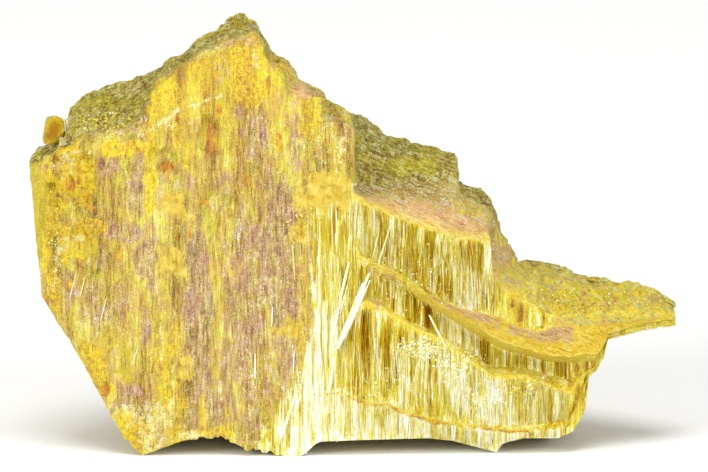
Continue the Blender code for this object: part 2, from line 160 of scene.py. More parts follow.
# %% Edges and guide lines
TOP_EDGE = [
    (-38.9, 35.4), (-38.5, 36.2), (-37.7, 37.1), (-35.5, 38.3), (-34.4, 39.2), (-34.0, 41.9),
    (-32.0, 43.7), (-29.8, 44.5), (-26.9, 45.4), (-24.0, 46.0), (-22.6, 47.3), (-20.4, 48.7),
    (-16.8, 51.1), (-15.1, 52.7), (-13.9, 53.4), (-13.2, 53.3), (-12.6, 52.3), (-11.8, 52.2),
    (-10.3, 49.6), (-9.6, 48.5), (-8.3, 47.9), (-7.1, 46.8), (-6.6, 45.5), (-3.6, 43.8),
    (-3.2, 42.7), (-0.2, 41.5), (1.7, 40.8), (3.8, 38.9), (7.7, 37.7), (12.4, 36.6),
    (12.8, 33.1), (14.6, 32.5), (16.8, 31.1), (17.4, 29.8), (17.9, 26.3), (19.1, 24.8),
    (19.9, 23.4), (22.6, 23.5), (27.1, 22.1), (32.2, 20.9), (36.5, 20.2), (39.0, 18.2),
]
LOW_EDGE = [
    (-37.3, 19.4), (-36.2, 17.5), (-33.4, 13.0), (-31.9, 10.6), (-30.5, 7.7), (-28.1, 4.0),
    (-26.5, 1.3), (-25.1, 0.3), (-22.6, 1.1), (-20.6, 1.9), (-15.6, 2.3), (-13.2, 0.8),
    (-7.0, 0.1), (-5.9, 0.2), (-4.1, 1.8), (1.0, 2.0), (9.1, 2.2), (12.0, 1.9), (14.2, 1.3),
    (17.3, 0.5), (18.1, 1.6), (20.4, 2.2), (24.7, 2.2), (26.6, 3.1), (28.1, 5.8), (28.4, 9.5),
    (29.4, 10.3), (30.3, 12.1), (30.7, 14.0), (34.3, 14.9), (39.0, 15.7),
]
LEFT_EDGE = [(19.4, -37.3), (23.4, -37.7), (27.7, -38.2), (30.8, -38.4), (34.4, -38.9)]
SKEW_START = -30.0
FACE_DEPTH = [(-38.9, 2.2), (-35.0, 0.8), (-30.0, 0.15), (-20.0, 0.0), (39.0, 0.0)]
FIRST_STEPPED_X = -9.0
FULLY_STEPPED_X = -1.0
LINE_GAP = 0.14

# Each guide: line as (x, rise), depth as (x, depth), rows from it up to the next guide
GUIDES = {
    "lower edge": (
        LOW_EDGE,
        [(-38.9, 2.6), (-36.0, 1.5), (-30.0, 0.8), (-20.0, 0.4), (-5.0, 0.3), (2.0, 0.6),
         (8.0, 1.2), (14.0, 2.2), (20.0, 1.6), (26.0, 1.6), (30.5, 3.0), (39.0, 5.6)], 8),
    "lowest crest": (
        [(-4.4, 8.0), (-1.5, 7.8), (1.6, 6.4), (4.0, 6.2), (6.8, 4.9), (9.5, 4.1),
         (13.6, 3.5), (20.1, 2.9), (26.0, 3.6), (28.5, 9.8)],
        [(-6.0, 0.0), (-2.0, -0.1), (2.0, -0.2), (10.0, 0.2), (18.0, 0.8), (24.0, 1.2),
         (30.5, 2.8), (39.0, 5.5)], 2),
    "third foot": (
        [(-4.4, 8.4), (-1.5, 8.3), (1.6, 6.9), (4.0, 6.7), (6.8, 5.4), (9.5, 4.6),
         (13.6, 4.0), (20.1, 3.5), (26.0, 4.4), (28.5, 10.0)],
        [(-6.0, 0.0), (-2.0, 0.4), (2.0, 0.9), (10.0, 1.4), (18.0, 2.0), (26.0, 2.1),
         (30.5, 2.8), (39.0, 5.5)], 15),
    "third crest": (
        [(-1.0, 19.0), (1.7, 18.5), (4.0, 17.5), (6.8, 15.8), (10.9, 14.0), (13.6, 12.1),
         (16.7, 9.7), (21.2, 9.5), (26.1, 7.6), (28.5, 10.2)],
        [(-2.0, 0.0), (2.0, 0.0), (8.0, 0.2), (14.0, 0.5), (18.0, 0.9), (24.0, 1.3),
         (30.5, 2.7), (39.0, 5.5)], 2),
    "second foot": (
        [(-1.0, 19.5), (1.7, 19.0), (4.0, 18.0), (6.8, 16.3), (10.9, 14.5), (13.6, 12.7),
         (16.7, 10.8), (21.2, 10.5), (26.1, 9.2), (28.5, 10.4)],
        [(0.0, 0.1), (3.0, 0.8), (8.0, 1.4), (13.0, 2.0), (17.0, 3.1), (24.0, 3.3),
         (28.0, 2.6), (30.5, 2.7), (39.0, 5.4)], 11),
    "undercut": (
        [(-0.3, 23.4), (0.5, 23.3), (4.7, 21.4), (9.5, 18.0), (13.6, 15.4), (18.1, 12.9),
         (23.6, 11.4), (29.1, 11.4), (30.7, 14.2)],
        [(0.0, 0.1), (4.0, 1.1), (10.0, 2.0), (14.0, 2.9), (20.0, 3.5), (26.0, 3.1),
         (28.5, 2.8), (30.5, 2.7), (39.0, 5.4)], 3),
    "second crest": (
        [(-0.3, 24.1), (0.5, 24.0), (2.6, 23.2), (6.8, 21.0), (9.5, 18.7), (13.6, 16.2),
         (18.1, 13.8), (23.6, 12.2), (29.1, 12.1), (30.2, 12.8), (31.5, 15.0)],
        [(0.0, 0.0), (4.0, 0.3), (10.0, 0.4), (16.0, 0.5), (22.0, 0.6), (28.0, 1.4),
         (31.0, 2.2), (39.0, 5.2)], 7),
    "first foot": (
        [(-0.3, 24.5), (0.5, 24.4), (4.7, 22.5), (6.8, 21.5), (8.8, 19.9), (10.5, 18.9),
         (12.5, 18.0), (17.9, 16.9), (19.0, 16.1), (22.3, 15.1), (24.4, 16.0),
         (30.5, 16.0), (39.0, 16.8)],
        [(-0.3, 0.0), (1.0, 0.5), (4.0, 1.4), (9.0, 2.2), (14.0, 2.9), (20.0, 3.4),
         (24.0, 3.0), (30.0, 3.4), (39.0, 5.6)], 17),
    "first crest": (
        [(-0.3, 31.6), (1.3, 30.5), (4.0, 29.4), (8.8, 27.7), (11.6, 26.8), (13.6, 26.4),
         (16.4, 26.3), (16.9, 21.8), (19.5, 19.4), (21.5, 18.6), (23.6, 17.2),
         (30.5, 17.4), (39.0, 17.2)],
        [(-1.0, 0.0), (0.0, 0.2), (3.0, 0.8), (8.0, 1.1), (15.0, 1.3), (16.5, 1.6),
         (17.1, 3.4), (24.0, 3.8), (30.0, 4.2), (39.0, 5.9)], 12),
    "slope head": (
        [(-0.3, 32.4), (0.5, 32.6), (3.3, 32.6), (5.7, 33.2), (9.3, 33.5), (12.4, 33.0),
         (12.8, 31.9), (16.8, 29.8), (17.4, 28.4), (17.9, 25.0), (19.3, 22.3),
         (21.5, 21.5), (24.8, 19.0), (30.5, 18.7), (39.0, 17.6)],
        [(-2.0, 0.1), (0.0, 0.4), (0.7, 2.6), (4.0, 4.2), (9.0, 5.0), (16.0, 5.2),
         (19.0, 5.6), (30.0, 5.8), (39.0, 6.6)], 10),
    "lip": (
        [(-38.9, 35.0), (-33.5, 37.2), (-29.1, 37.8), (-26.3, 38.6), (-25.0, 40.4),
         (-23.7, 43.4), (-22.4, 45.6), (-21.3, 46.7), (-17.5, 48.2), (-14.8, 49.0),
         (-11.7, 50.5), (-10.4, 48.4), (-8.6, 45.9), (-7.9, 43.3), (-3.7, 43.2),
         (-3.3, 40.2), (0.1, 40.0), (0.8, 39.4), (5.7, 36.4), (12.4, 35.8), (12.8, 32.6),
         (17.4, 29.0), (19.3, 23.2), (24.8, 21.2), (30.5, 20.0), (39.0, 17.9)],
        [(-38.9, 3.4), (-34.0, 1.8), (-28.0, 0.9), (-20.0, 0.5), (-1.0, 0.5), (0.1, 0.8),
         (0.8, 3.6), (5.0, 5.3), (12.4, 5.8), (17.0, 6.0), (20.0, 6.8), (39.0, 7.0)], 32),
    "upper edge": (
        TOP_EDGE,
        [(-38.9, 4.6), (-36.0, 5.5), (-30.0, 7.5), (-24.0, 6.0), (-22.0, 4.0),
         (-17.0, 4.2), (-13.0, 5.0), (-10.0, 3.0), (-4.0, 2.8), (0.0, 3.5), (1.0, 7.5),
         (5.0, 8.8), (12.4, 9.2), (13.0, 7.6), (17.4, 6.6), (20.0, 8.6), (30.0, 8.4),
         (39.0, 7.6)], 0),
}
GUIDE_NAMES = list(GUIDES)
GUIDE_ROWS = [GUIDES[name][2] for name in GUIDE_NAMES]
LIP = GUIDE_NAMES.index("lip")
print(len(GUIDES), "guide lines,", sum(GUIDE_ROWS) + 1, "rows on the front")

# %% [markdown]
# ## The bare skin
# One closed profile at each x, carried from the left end to the right one, gives a grid of
# points. Its rows climb the front through the guide lines, cross the broken top, go down the
# back along a few fracture planes and return under the base. Both ends are closed by shrinking
# the last profile to a point. A grid like this keeps each crest on one row, so an edge stays
# crisp, and any relief can be added to the whole array at once.

# %% Back, base and rows between lines
COLUMNS = 540
END_RINGS = 9
BACK_SHRINK = 0.94
BACK_SKEW = 0.8
# Each plane: depth at x 0 and rise 0, and how it deepens by x and by rise
BACK_PLANES = [
    (26.6, 0.02, -0.08), (33.4, 0.05, -0.44), (32.2, 0.56, -0.06), (32.4, -0.60, -0.04),
    (21.5, 0.03, 0.42), (35.5, -0.30, -0.36), (38.0, 0.46, -0.27),
]
# Each ledge: share of the height, and how far it is set back
BACK_LEDGES = [
    (0.985, 0.0), (0.87, 0.2), (0.82, -1.1), (0.70, -0.9), (0.58, -0.5), (0.53, 1.0),
    (0.38, 0.8), (0.26, -0.6), (0.13, -0.2), (0.06, 0.6),
]
LEDGE_WANDER = 0.03
LEDGE_WAVE = 7.0
LEDGE_PHASE = 1.7
LEDGES_BETWEEN = (0.2, 0.95)
THINNEST = 1.6
TOP_SHRINK = 0.985
TOP_DROP = 0.35
TOP_SHARE = 0.45
# Each line of the base: shrink, greatest depth, share of the room, and lift
BASE_LINES = [(0.965, 19.5, 0.86, 0.10), (0.985, 12.0, 0.60, 0.03)]
BASE_EDGE_RISE = 2.45
BASE_EDGE_HIGH = 7.35
BASE_STEP = 0.1
BACK_ROWS_BETWEEN = [4, 4, 5, 3, 5, 4, 3, 5, 4, 4, 3, 4, 3, 4]
# On the plain part of the face the guide lines lie apart in these proportions
PLAIN_SPACING = [2, 1, 3, 1, 3, 1, 2, 4, 3, 3]


def skew_at(x):
    """How far a profile follows the slanting left end: 1 at the end, 0 from SKEW_START on."""
    return np.clip((SKEW_START - x) / (SKEW_START - LEFT_END), 0.0, 1.0)


def edge_shift(x, rise):
    """Sideways shift that turns the first profile into the left edge."""
    table = np.array(LEFT_EDGE)
    return skew_at(x) * (np.interp(rise, table[:, 0], table[:, 1]) - LEFT_END)


def guide_values(x):
    """Rise and depth of every guide line at every x, kept in order and apart."""
    low = read_line(LOW_EDGE, x + skew_at(x) * (LEFT_EDGE[0][1] - LEFT_END))
    lip = read_line(GUIDES["lip"][0], x)
    shares = np.cumsum([0] + PLAIN_SPACING) / sum(PLAIN_SPACING)
    own = ease(FIRST_STEPPED_X, FULLY_STEPPED_X, x)
    face = read_line(FACE_DEPTH, x)
    rise = np.zeros((len(GUIDES), len(x)))
    depth = np.zeros((len(GUIDES), len(x)))
    for index, name in enumerate(GUIDE_NAMES):
        line, depths, _ = GUIDES[name]
        rise[index] = read_line(line, x)
        depth[index] = read_line(depths, x)
        if 0 < index < LIP:
            even = low + (lip - low) * shares[index]
            rise[index] = even + (rise[index] - even) * own
            depth[index] = face + (depth[index] - face) * own
    rise[0] = low
    for index in range(1, len(GUIDES)):
        rise[index] = np.maximum(rise[index], rise[index - 1] + LINE_GAP)
    for index in range(len(GUIDES) - 2, -1, -1):
        rise[index] = np.minimum(rise[index], rise[index + 1] - LINE_GAP)
    return rise, depth


def back_depth(x, rise):
    """Depth of the back: the nearest of its fracture planes, base + by_x * x + by_rise * rise."""
    planes = [base + by_x * x + by_rise * rise for base, by_x, by_rise in BACK_PLANES]
    return np.min(planes, axis=0)


def back_lines(x, rise, depth):
    """The lines of the back and base from the upper edge round to the lower edge."""
    low, top = rise[0], rise[-1]
    height = top - low
    nearest = np.maximum(depth[0], depth[-1]) + THINNEST
    under_top = np.maximum(back_depth(x, top), nearest)
    lines = [(x * TOP_SHRINK, top - TOP_DROP, depth[-1] + TOP_SHARE * (under_top - depth[-1]))]
    for number, (share, setback) in enumerate(BACK_LEDGES):
        wanders = LEDGES_BETWEEN[0] < share < LEDGES_BETWEEN[1]
        wander = LEDGE_WANDER * wanders * np.sin(x / LEDGE_WAVE + number * LEDGE_PHASE)
        line_rise = low + height * (share + wander)
        line_depth = np.maximum(back_depth(x, line_rise) - setback, nearest)
        lines.append((x * BACK_SHRINK, line_rise, line_depth))
    lifted = ease(BASE_EDGE_RISE, BASE_EDGE_HIGH, low) * height
    room = np.maximum(back_depth(x, low), nearest) - depth[0]
    for shrink, limit, portion, lift in BASE_LINES:
        line_depth = np.minimum(depth[0] + room * portion, limit)
        line_rise = np.maximum(line_depth * math.tan(LEAN_BACK), low + BASE_STEP + lifted * lift)
        lines.append((x * shrink, line_rise, line_depth))
    return [(wide + edge_shift(x, up) * BACK_SKEW, up, deep) for wide, up, deep in lines]


def between(lines, counts):
    """Rows of points from line to line: each step is a straight share of the way."""
    rows = []
    for start, end, count in zip(lines[:-1], lines[1:], counts):
        for step in range(count):
            rows.append(start + (end - start) * (step / count))
    return rows


print(len(BACK_PLANES), "planes and", len(BACK_LEDGES), "lines on the back")

# %% Grid of the bare skin
x_columns = np.linspace(LEFT_END, RIGHT_END, COLUMNS)
guide_rise, guide_depth = guide_values(x_columns)
front_lines = [np.stack([x_columns + edge_shift(x_columns, guide_rise[k]), guide_rise[k],
                         guide_depth[k]], axis=-1) for k in range(len(GUIDES))]
rear_lines = [np.stack(line, axis=-1) for line in back_lines(x_columns, guide_rise, guide_depth)]
front = np.array(between(front_lines, GUIDE_ROWS))
rear = np.array(between([front_lines[-1]] + rear_lines + [front_lines[0]], BACK_ROWS_BETWEEN))
bare = np.concatenate([front, rear])
FRONT_ROWS = len(front)
ROWS = len(bare)
row_guide = np.concatenate([np.repeat(np.arange(len(GUIDES)), GUIDE_ROWS),
                            np.full(len(rear), len(GUIDES))])
row_share = np.concatenate([np.concatenate([np.arange(count) / count
                                            for count in GUIDE_ROWS if count]),
                            np.arange(len(rear)) / len(rear)])
print("bare skin:", ROWS, "rows by", COLUMNS, "columns")

# %% [markdown]
# ## Zones of the surface
# A finish follows what broke where. Curtains are bundles of fibres, treads are the smooth
# ledges between them, the face is plain cleavage, and the crust is what was rock. Each zone is
# a mask from 0 to 1 on the grid, read from the row's guide line and the column's x.

# %% Zone masks
CURTAIN_GUIDES = ["lower edge", "third foot", "second foot", "first foot"]
TREAD_GUIDES = ["lowest crest", "third crest", "undercut", "second crest"]
STEP_START = (-0.5, 0.6)
RISER_START = (0.2, 0.8)
WING_START = (16.8, 18.9)
WING_FOOT = (23.0, 26.0)


def along_x(low, high):
    """A mask that fades in from one x to another."""
    return ease(low, high, x_columns)[None, :]


def rows_of(names):
    """1 on the rows that run up from the named guide lines."""
    return np.isin(guide_column, [GUIDE_NAMES.index(name) for name in names]) * 1.0


def first_row(name):
    """The row that a guide line lies on."""
    return sum(GUIDE_ROWS[:GUIDE_NAMES.index(name)])


guide_column = row_guide[:, None]
share_column = row_share[:, None]
on_front = (guide_column < len(GUIDES) - 1) * np.ones((1, COLUMNS))
stepped = along_x(FIRST_STEPPED_X, FULLY_STEPPED_X)
step_start = along_x(*STEP_START)
wing = along_x(*WING_START)
zone = {}
zone["curtain"] = rows_of(CURTAIN_GUIDES) * stepped
zone["curtain"] += rows_of(["first crest", "slope head"]) * stepped * (1.0 - step_start)
zone["tread"] = rows_of(TREAD_GUIDES) * stepped
zone["slope"] = rows_of(["first crest"]) * step_start
zone["riser"] = rows_of(["slope head"]) * stepped * along_x(*RISER_START)
zone["band"] = rows_of(["lip"]) * np.ones((1, COLUMNS))
zone["face"] = (guide_column < LIP) * (1.0 - stepped)
zone["wing"] = wing * (rows_of(["first crest", "slope head", "lip"])
                       + rows_of(["first foot"]) * along_x(*WING_FOOT))
zone["wing"] = np.clip(zone["wing"], 0.0, 1.0)
zone["rear"] = (guide_column >= len(GUIDES)) * np.ones((1, COLUMNS))
zone["curtain"] = zone["curtain"] * (1.0 - zone["wing"])
for name, mask in zone.items():
    print(f"{name:8s} covers {mask.mean():.2f} of the grid")

# %% [markdown]
# ## Relief
# The relief is a height at each grid point, laid along the surface's own direction. Fibres are
# noise drawn out along the face. A curtain also breaks in splinters: each narrow bundle has
# its own height and its own broken ends. The plain face comes off in thin leaves, so there the
# noise is cut to a step. Crust is rock noise. The base keeps its flat.

# %% Relief on the grid
# Each flute: width, length and height
FLUTES = [(0.95, 15.0, 0.10), (0.42, 10.0, 0.07), (0.24, 7.0, 0.035)]
CURTAIN_FLUTES = 1.3
FACE_FLUTES = 0.45
CURTAIN_ROUND = 0.35
SPLINTER_WIDTH = 0.62
SPLINTER_LENGTH = 4.2
SPLINTER_HEIGHT = 0.17
SPLINTER_BEND = 0.25
# Each leaf: width and length of its patches, the level that the noise is cut at, and height
LEAVES = [(3.6, 13.0, 0.12, 0.10), (1.5, 9.0, 0.20, 0.08), (0.8, 6.0, 0.3, 0.05)]
LEAF_EDGE = 0.05
# Patches that lie higher or lower: middle x, middle rise, half width, half height, height
FACE_PATCHES = [
    (-13.2, 16.5, 6.9, 14.0, -0.38), (-32.2, 24.8, 2.8, 2.4, 0.55),
    (-33.3, 33.6, 3.2, 2.8, -0.60), (-3.2, 31.6, 3.0, 2.6, 0.12),
    (-22.6, 35.0, 1.6, 1.8, -0.55), (-1.2, 19.5, 1.3, 5.0, 0.40),
    (-26.5, 9.0, 3.6, 6.0, 0.30), (-17.0, 38.3, 1.1, 2.1, -0.45),
    (-22.6, 34.7, 1.2, 0.8, -0.35),
]
CRUST_HEIGHT = 0.55
CRUST_LUMP = 2.0
CRUST_FOLD = 0.9
CRUST_FOLD_SHARE = 0.35
ROUGH_WING = 0.50
ROUGH_SLOPE = 0.55
ROUGH_TREAD = 0.30
CRUMPLE = [(-33.6, 34.2, 2.9, 3.3), (-32.8, 25.4, 2.6, 2.3), (-36.2, 29.5, 1.2, 5.0)]
CRUMPLE_HEIGHT = 0.24
CRUMPLE_SIZE = 1.3
REAR_HEIGHT = 1.0
REAR_LUMP = 7.5
REAR_GRIT = 0.30
# Each fray: amount, width and length, long along the fibres first, then finer and rounder
FRAYS = [(0.26, 0.7, 5.0), (0.20, 0.3, 2.2), (0.26, 1.1, 1.6), (0.16, 0.45, 0.6)]
FRAY_INNER = 0.72
FRAY_OUTER = 1.22


def fray_noise(x, rise, seed):
    """Unevenness for the edges of patches: the sum of fibre noise over the frays."""
    return sum(amount * fibre_noise(x, rise, width, length, seed + number)
               for number, (amount, width, length) in enumerate(FRAYS))


def frayed_box(x, rise, fray, middle_x, middle_rise, half_x, half_rise, slant=0.0):
    """A patch with frayed edges: 1 inside, 0 outside.

    The distance is the 3-norm of the offsets over the half sizes, plus the fray.
    """
    across = (x - middle_x - slant * (rise - middle_rise)) / half_x
    along = (rise - middle_rise) / half_rise
    far = (np.abs(across) ** 3 + np.abs(along) ** 3) ** (1.0 / 3.0)
    return 1.0 - ease(FRAY_INNER, FRAY_OUTER, far + fray)


def splinter_height(x, rise):
    """One random height for each bundle of fibres between two of its breaks."""
    bent = x + SPLINTER_BEND * fibre_noise(x, rise, 1.6, 9.0, 61)
    bundle = np.floor(bent / SPLINTER_WIDTH)
    zero = np.zeros_like(bundle)
    own_shift = lattice_value(np.stack([bundle, zero, zero], axis=-1).astype(np.int64), 67)
    piece = np.floor(rise / SPLINTER_LENGTH + 3.0 * own_shift)
    return lattice_value(np.stack([bundle, piece, zero], axis=-1).astype(np.int64), 71)


def leaf_height(x, rise):
    """Steps where a thin leaf has come off: fibre noise cut at a level, summed over sizes."""
    total = np.zeros_like(x)
    for number, (width, length, level, height) in enumerate(LEAVES):
        noise = fibre_noise(x, rise, width, length, 81 + number)
        noise = noise + 0.25 * fibre_noise(x, rise, width * 0.3, length * 0.3, 91 + number)
        total += height * ease(level - LEAF_EDGE, level + LEAF_EDGE, noise)
    return total


print(len(FLUTES), "sizes of flute,", len(LEAVES), "of leaf,", len(FACE_PATCHES), "patches")

# %% [markdown]
# ## The relief put together
# The curtains carry full flutes and splinters, and swell between crest and foot. The face has
# shallow flutes, leaves, and patches that lie higher or lower. The rest is rock. All kinds are
# added up with the zones as weights, so one fades into the next without a seam.

# %% Relief put together
face_x = bare[..., 0]
face_rise = bare[..., 1]
flutes = sum(height * fibre_noise(face_x, face_rise, width, length, 21 + number)
             for number, (width, length, height) in enumerate(FLUTES))
splinters = SPLINTER_HEIGHT * splinter_height(face_x, face_rise)
leaves = leaf_height(face_x, face_rise)
patch_fray = fray_noise(face_x, face_rise, 5)
patches = sum(height * frayed_box(face_x, face_rise, patch_fray, *place)
              for *place, height in FACE_PATCHES)
# Noise folded at zero has creases. Turned over, they stand up as the crust's sharp ridges.
folded = np.abs(rock_noise(bare, CRUST_FOLD, 111, octaves=2))
crust = -CRUST_HEIGHT * (rock_noise(bare, CRUST_LUMP, 101, octaves=4) + CRUST_FOLD_SHARE * folded)
crumple = np.max([frayed_box(face_x, face_rise, patch_fray, *place) for place in CRUMPLE], axis=0)
curtain_body = zone["curtain"] * np.sin(math.pi * share_column) ** CURTAIN_ROUND
rough = np.clip(zone["band"] + ROUGH_WING * zone["wing"] + ROUGH_SLOPE * zone["slope"]
                + zone["riser"] + ROUGH_TREAD * zone["tread"] * step_start, 0.0, 1.0)
height = curtain_body * (CURTAIN_FLUTES * flutes + splinters)
height += zone["face"] * (FACE_FLUTES * flutes + leaves + patches)
height += rough * (1.0 - curtain_body) * crust
height += crumple * zone["face"] * CRUMPLE_HEIGHT * rock_noise(bare, CRUMPLE_SIZE, 121, octaves=3)
height += zone["rear"] * REAR_GRIT * rock_noise(bare, CRUST_LUMP, 131, octaves=4)
print("relief from", round(height.min(), 2), "to", round(height.max(), 2), "mm")

# %% [markdown]
# ## The finished skin
# The relief is added along the grid's normals, worked out from the differences between
# neighbouring points. The back gets broad lumps too, the same ones as the plain solid. The
# upper edge and the crests are made ragged, and the points near the base are kept on or above
# the surface that the stone stands on.

# %% Finished skin
EDGE_RAGGED = 0.16
EDGE_RAGGED_SIZE = 0.9
CREST_RAGGED = 0.17
TOP_ROWS = 5.0
CREST_ROWS = 2.2
END_RUN = 5.0
END_RELIEF = 0.22
END_LUMP = 1.4
REAR_FINE_LUMP = 3.1
# For x, rise and depth: the seed of the lumps and how far they go
REAR_SHIFTS = ((41, 0.5), (43, 0.6), (47, 1.0))
CREST_NAMES = ("lowest crest", "third crest", "second crest", "first crest")


def grid_normals(points):
    """Unit normals out of a grid whose rows close on themselves: up-step times across-step."""
    across = np.gradient(points, axis=1)
    around = np.roll(points, -1, axis=0) - np.roll(points, 1, axis=0)
    normal = np.cross(around, across)
    smooth = normal.copy()
    for shift in (-2, -1, 1, 2):
        smooth += np.roll(normal, shift, axis=0)
    return smooth / np.maximum(np.linalg.norm(smooth, axis=-1, keepdims=True), 1e-12)


def broken_back(points):
    """The broad lumps of the back and rims, which fade out at both ends."""
    ends = ease(0.0, END_RUN, np.minimum(points[..., 0] - LEFT_END, RIGHT_END - points[..., 0]))
    amount = REAR_HEIGHT * (0.3 + 0.7 * ends)
    shift = np.zeros(points.shape)
    for axis, (seed, share) in enumerate(REAR_SHIFTS):
        wide = value_noise(points, REAR_LUMP, seed)
        fine = value_noise(points, REAR_FINE_LUMP, seed + 100)
        shift[..., axis] = amount * share * (0.7 * wide + 0.3 * fine)
    return shift


normals = grid_normals(bare)
skin = bare + normals * height[..., None]
rear_fade = np.ones(ROWS)
rear_fade[:FRONT_ROWS] = 0.0
fade_rows = BACK_ROWS_BETWEEN[0]
rear_fade[FRONT_ROWS:FRONT_ROWS + fade_rows] = np.arange(fade_rows) / fade_rows
base_rows = sum(BACK_ROWS_BETWEEN[-3:])
rear_fade[-base_rows:] = 0.0
skin += broken_back(bare) * rear_fade[:, None, None]
ragged = rock_noise(bare * (1.0, 1.0, 0.3), EDGE_RAGGED_SIZE, 151, octaves=2)
near_top = np.exp(-((np.arange(ROWS) - (FRONT_ROWS - 1)) / TOP_ROWS) ** 2)[:, None]
skin[..., 1] += EDGE_RAGGED * ragged * near_top
crest_ragged = CREST_RAGGED * rock_noise(bare * (1.0, 0.2, 0.2), 1.1, 161, octaves=3)
for name in CREST_NAMES:
    near_crest = np.exp(-((np.arange(ROWS) - first_row(name)) / CREST_ROWS) ** 2)[:, None] * stepped
    skin[..., 1] += crest_ragged * near_crest
skin[-base_rows:, :, 2] = bare[-base_rows:, :, 2]
skin[..., 1] = np.maximum(skin[..., 1], skin[..., 2] * math.tan(LEAN_BACK))


def close_ends(grid):
    """Add rings that shrink the first and last profile towards their middles."""
    shrink = 1.0 - np.arange(1, END_RINGS + 1) / (END_RINGS + 1)
    first, last = grid[:, 0], grid[:, -1]
    left = [first.mean(axis=0) + (first - first.mean(axis=0)) * s for s in shrink[::-1]]
    right = [last.mean(axis=0) + (last - last.mean(axis=0)) * s for s in shrink]
    return np.concatenate([np.stack(left, axis=1), grid, np.stack(right, axis=1)], axis=1)


def close_mask(mask):
    """The same rings for a mask, which keeps its edge value there."""
    full = np.broadcast_to(mask, (ROWS, COLUMNS))
    return np.pad(full, ((0, 0), (END_RINGS, END_RINGS)), mode="edge")


closed = close_ends(skin)
end_zone = np.zeros((ROWS, COLUMNS + 2 * END_RINGS))
end_zone[:, :END_RINGS] = 1.0
end_zone[:, -END_RINGS:] = 1.0
closed_normals = grid_normals(closed)
closed += closed_normals * (end_zone * END_RELIEF * rock_noise(closed, END_LUMP, 171))[..., None]
closed[..., 1] = np.maximum(closed[..., 1], closed[..., 2] * math.tan(LEAN_BACK))
print("closed skin:", closed.shape[0] * closed.shape[1] * 2, "triangles")

# %% [markdown]
# ## From arrays to a mesh
# A mesh wants a flat list of points and, for each face, the numbers of its corners. On a grid
# those numbers follow from the row and the column. The profile runs round, so the last row
# joins the first one, and a single point closes each end.

# %% Mesh helpers
def grid_faces(rows, columns):
    """Corner numbers of the quads of a grid whose last row joins its first."""
    row, column = np.meshgrid(np.arange(rows), np.arange(columns - 1), indexing="ij")
    after = (row + 1) % rows
    corners = [row * columns + column, row * columns + column + 1,
               after * columns + column + 1, after * columns + column]
    return np.stack(corners, axis=-1).reshape(-1, 4)


def pole_faces(rows, columns, column, pole, flip):
    """A fan of triangles from one end column to its closing point."""
    row = np.arange(rows)
    here = row * columns + column
    there = (row + 1) % rows * columns + column
    middle = np.full(rows, pole)
    return np.stack([here, middle, there] if flip else [middle, here, there], axis=-1)


def build_mesh(name, points, faces):
    """Make a named object from points in metres and lists of corner numbers."""
    data = bpy.data.meshes.new(name)
    data.from_pydata(points.tolist(), [], faces)
    data.update()
    thing = bpy.data.objects.new(name, data)
    bpy.context.scene.collection.objects.link(thing)
    return thing


def write_mask(thing, name, values):
    """Store one number per point, for the materials to read by name."""
    layer = thing.data.attributes.new(name, "FLOAT", "POINT")
    layer.data.foreach_set("value", np.ascontiguousarray(values, dtype=np.float32).ravel())


full_rows, full_columns = closed.shape[:2]
skin_points = to_world(closed).reshape(-1, 3)
poles = to_world(np.stack([closed[:, 0].mean(axis=0), closed[:, -1].mean(axis=0)]))
all_points = np.concatenate([skin_points, poles])
quads = grid_faces(full_rows, full_columns).tolist()
left_fan = pole_faces(full_rows, full_columns, 0, len(skin_points), False).tolist()
right_fan = pole_faces(full_rows, full_columns, full_columns - 1, len(skin_points) + 1, True)
stone = build_mesh("orpiment_skin", all_points, quads + left_fan + right_fan.tolist())
stone.data.shade_smooth()
stone.data.set_sharp_from_angle(angle=math.radians(34.0))
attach(stone, BODY)
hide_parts(NODE)
print("stone skin has", len(stone.data.polygons), "faces")

# %% [markdown]
# ## Where the colours lie
# Real orpiment isn't one yellow. Where the leaves lie flat they shine lilac, and that sheen is
# painted into the colour here. Where they are crushed they are a bright powder, thick clear
# spots are amber, torn fibres are nearly white, and the pale patches are partly painted glints.
# The old crust is olive grey. Each is a list of patches, given in millimetres on the face.

# %% Colour patches
# A row is middle x, middle rise, half width, half height, slant if there is one, and strength
# Lilac is painted sheen: the pinkish shine of flat cleavage leaves, put into the colour
LILAC_SHEEN = [
    (-18.6, 19.0, 2.0, 9.5, 1.0), (-17.9, 6.0, 2.2, 4.0, 0.1, 0.75),
    (-13.2, 17.0, 2.7, 12.0, 0.72), (-8.9, 24.5, 2.5, 8.8, 1.0),
    (-8.8, 12.0, 2.4, 5.0, 0.62), (-11.6, 39.6, 1.9, 3.8, 0.8),
    (-7.0, 37.2, 1.0, 3.6, 0.65), (-15.7, 46.2, 1.5, 2.0, 0.45),
    (-29.1, 34.9, 1.5, 1.0, 0.85), (-25.7, 33.0, 1.1, 3.8, 0.9),
    (-26.5, 26.8, 4.2, 1.4, 0.75), (-24.8, 24.3, 1.6, 4.6, 0.8),
    (-30.4, 24.4, 1.3, 1.6, 0.7), (-34.3, 20.7, 1.6, 1.7, -0.3, 0.65),
    (-28.0, 17.9, 1.1, 2.4, 0.6), (-24.6, 15.5, 0.9, 3.8, 0.6),
    (-27.2, 6.8, 1.6, 1.9, 0.1, 0.8), (-20.3, 33.0, 1.2, 2.0, 0.5),
    (-15.5, 31.5, 1.5, 2.6, 0.6), (-8.5, 31.0, 1.8, 3.0, 0.6),
    (-31.0, 18.0, 3.0, 3.5, -0.4, 0.60), (-13.0, 6.0, 3.0, 4.5, 0.5),
]
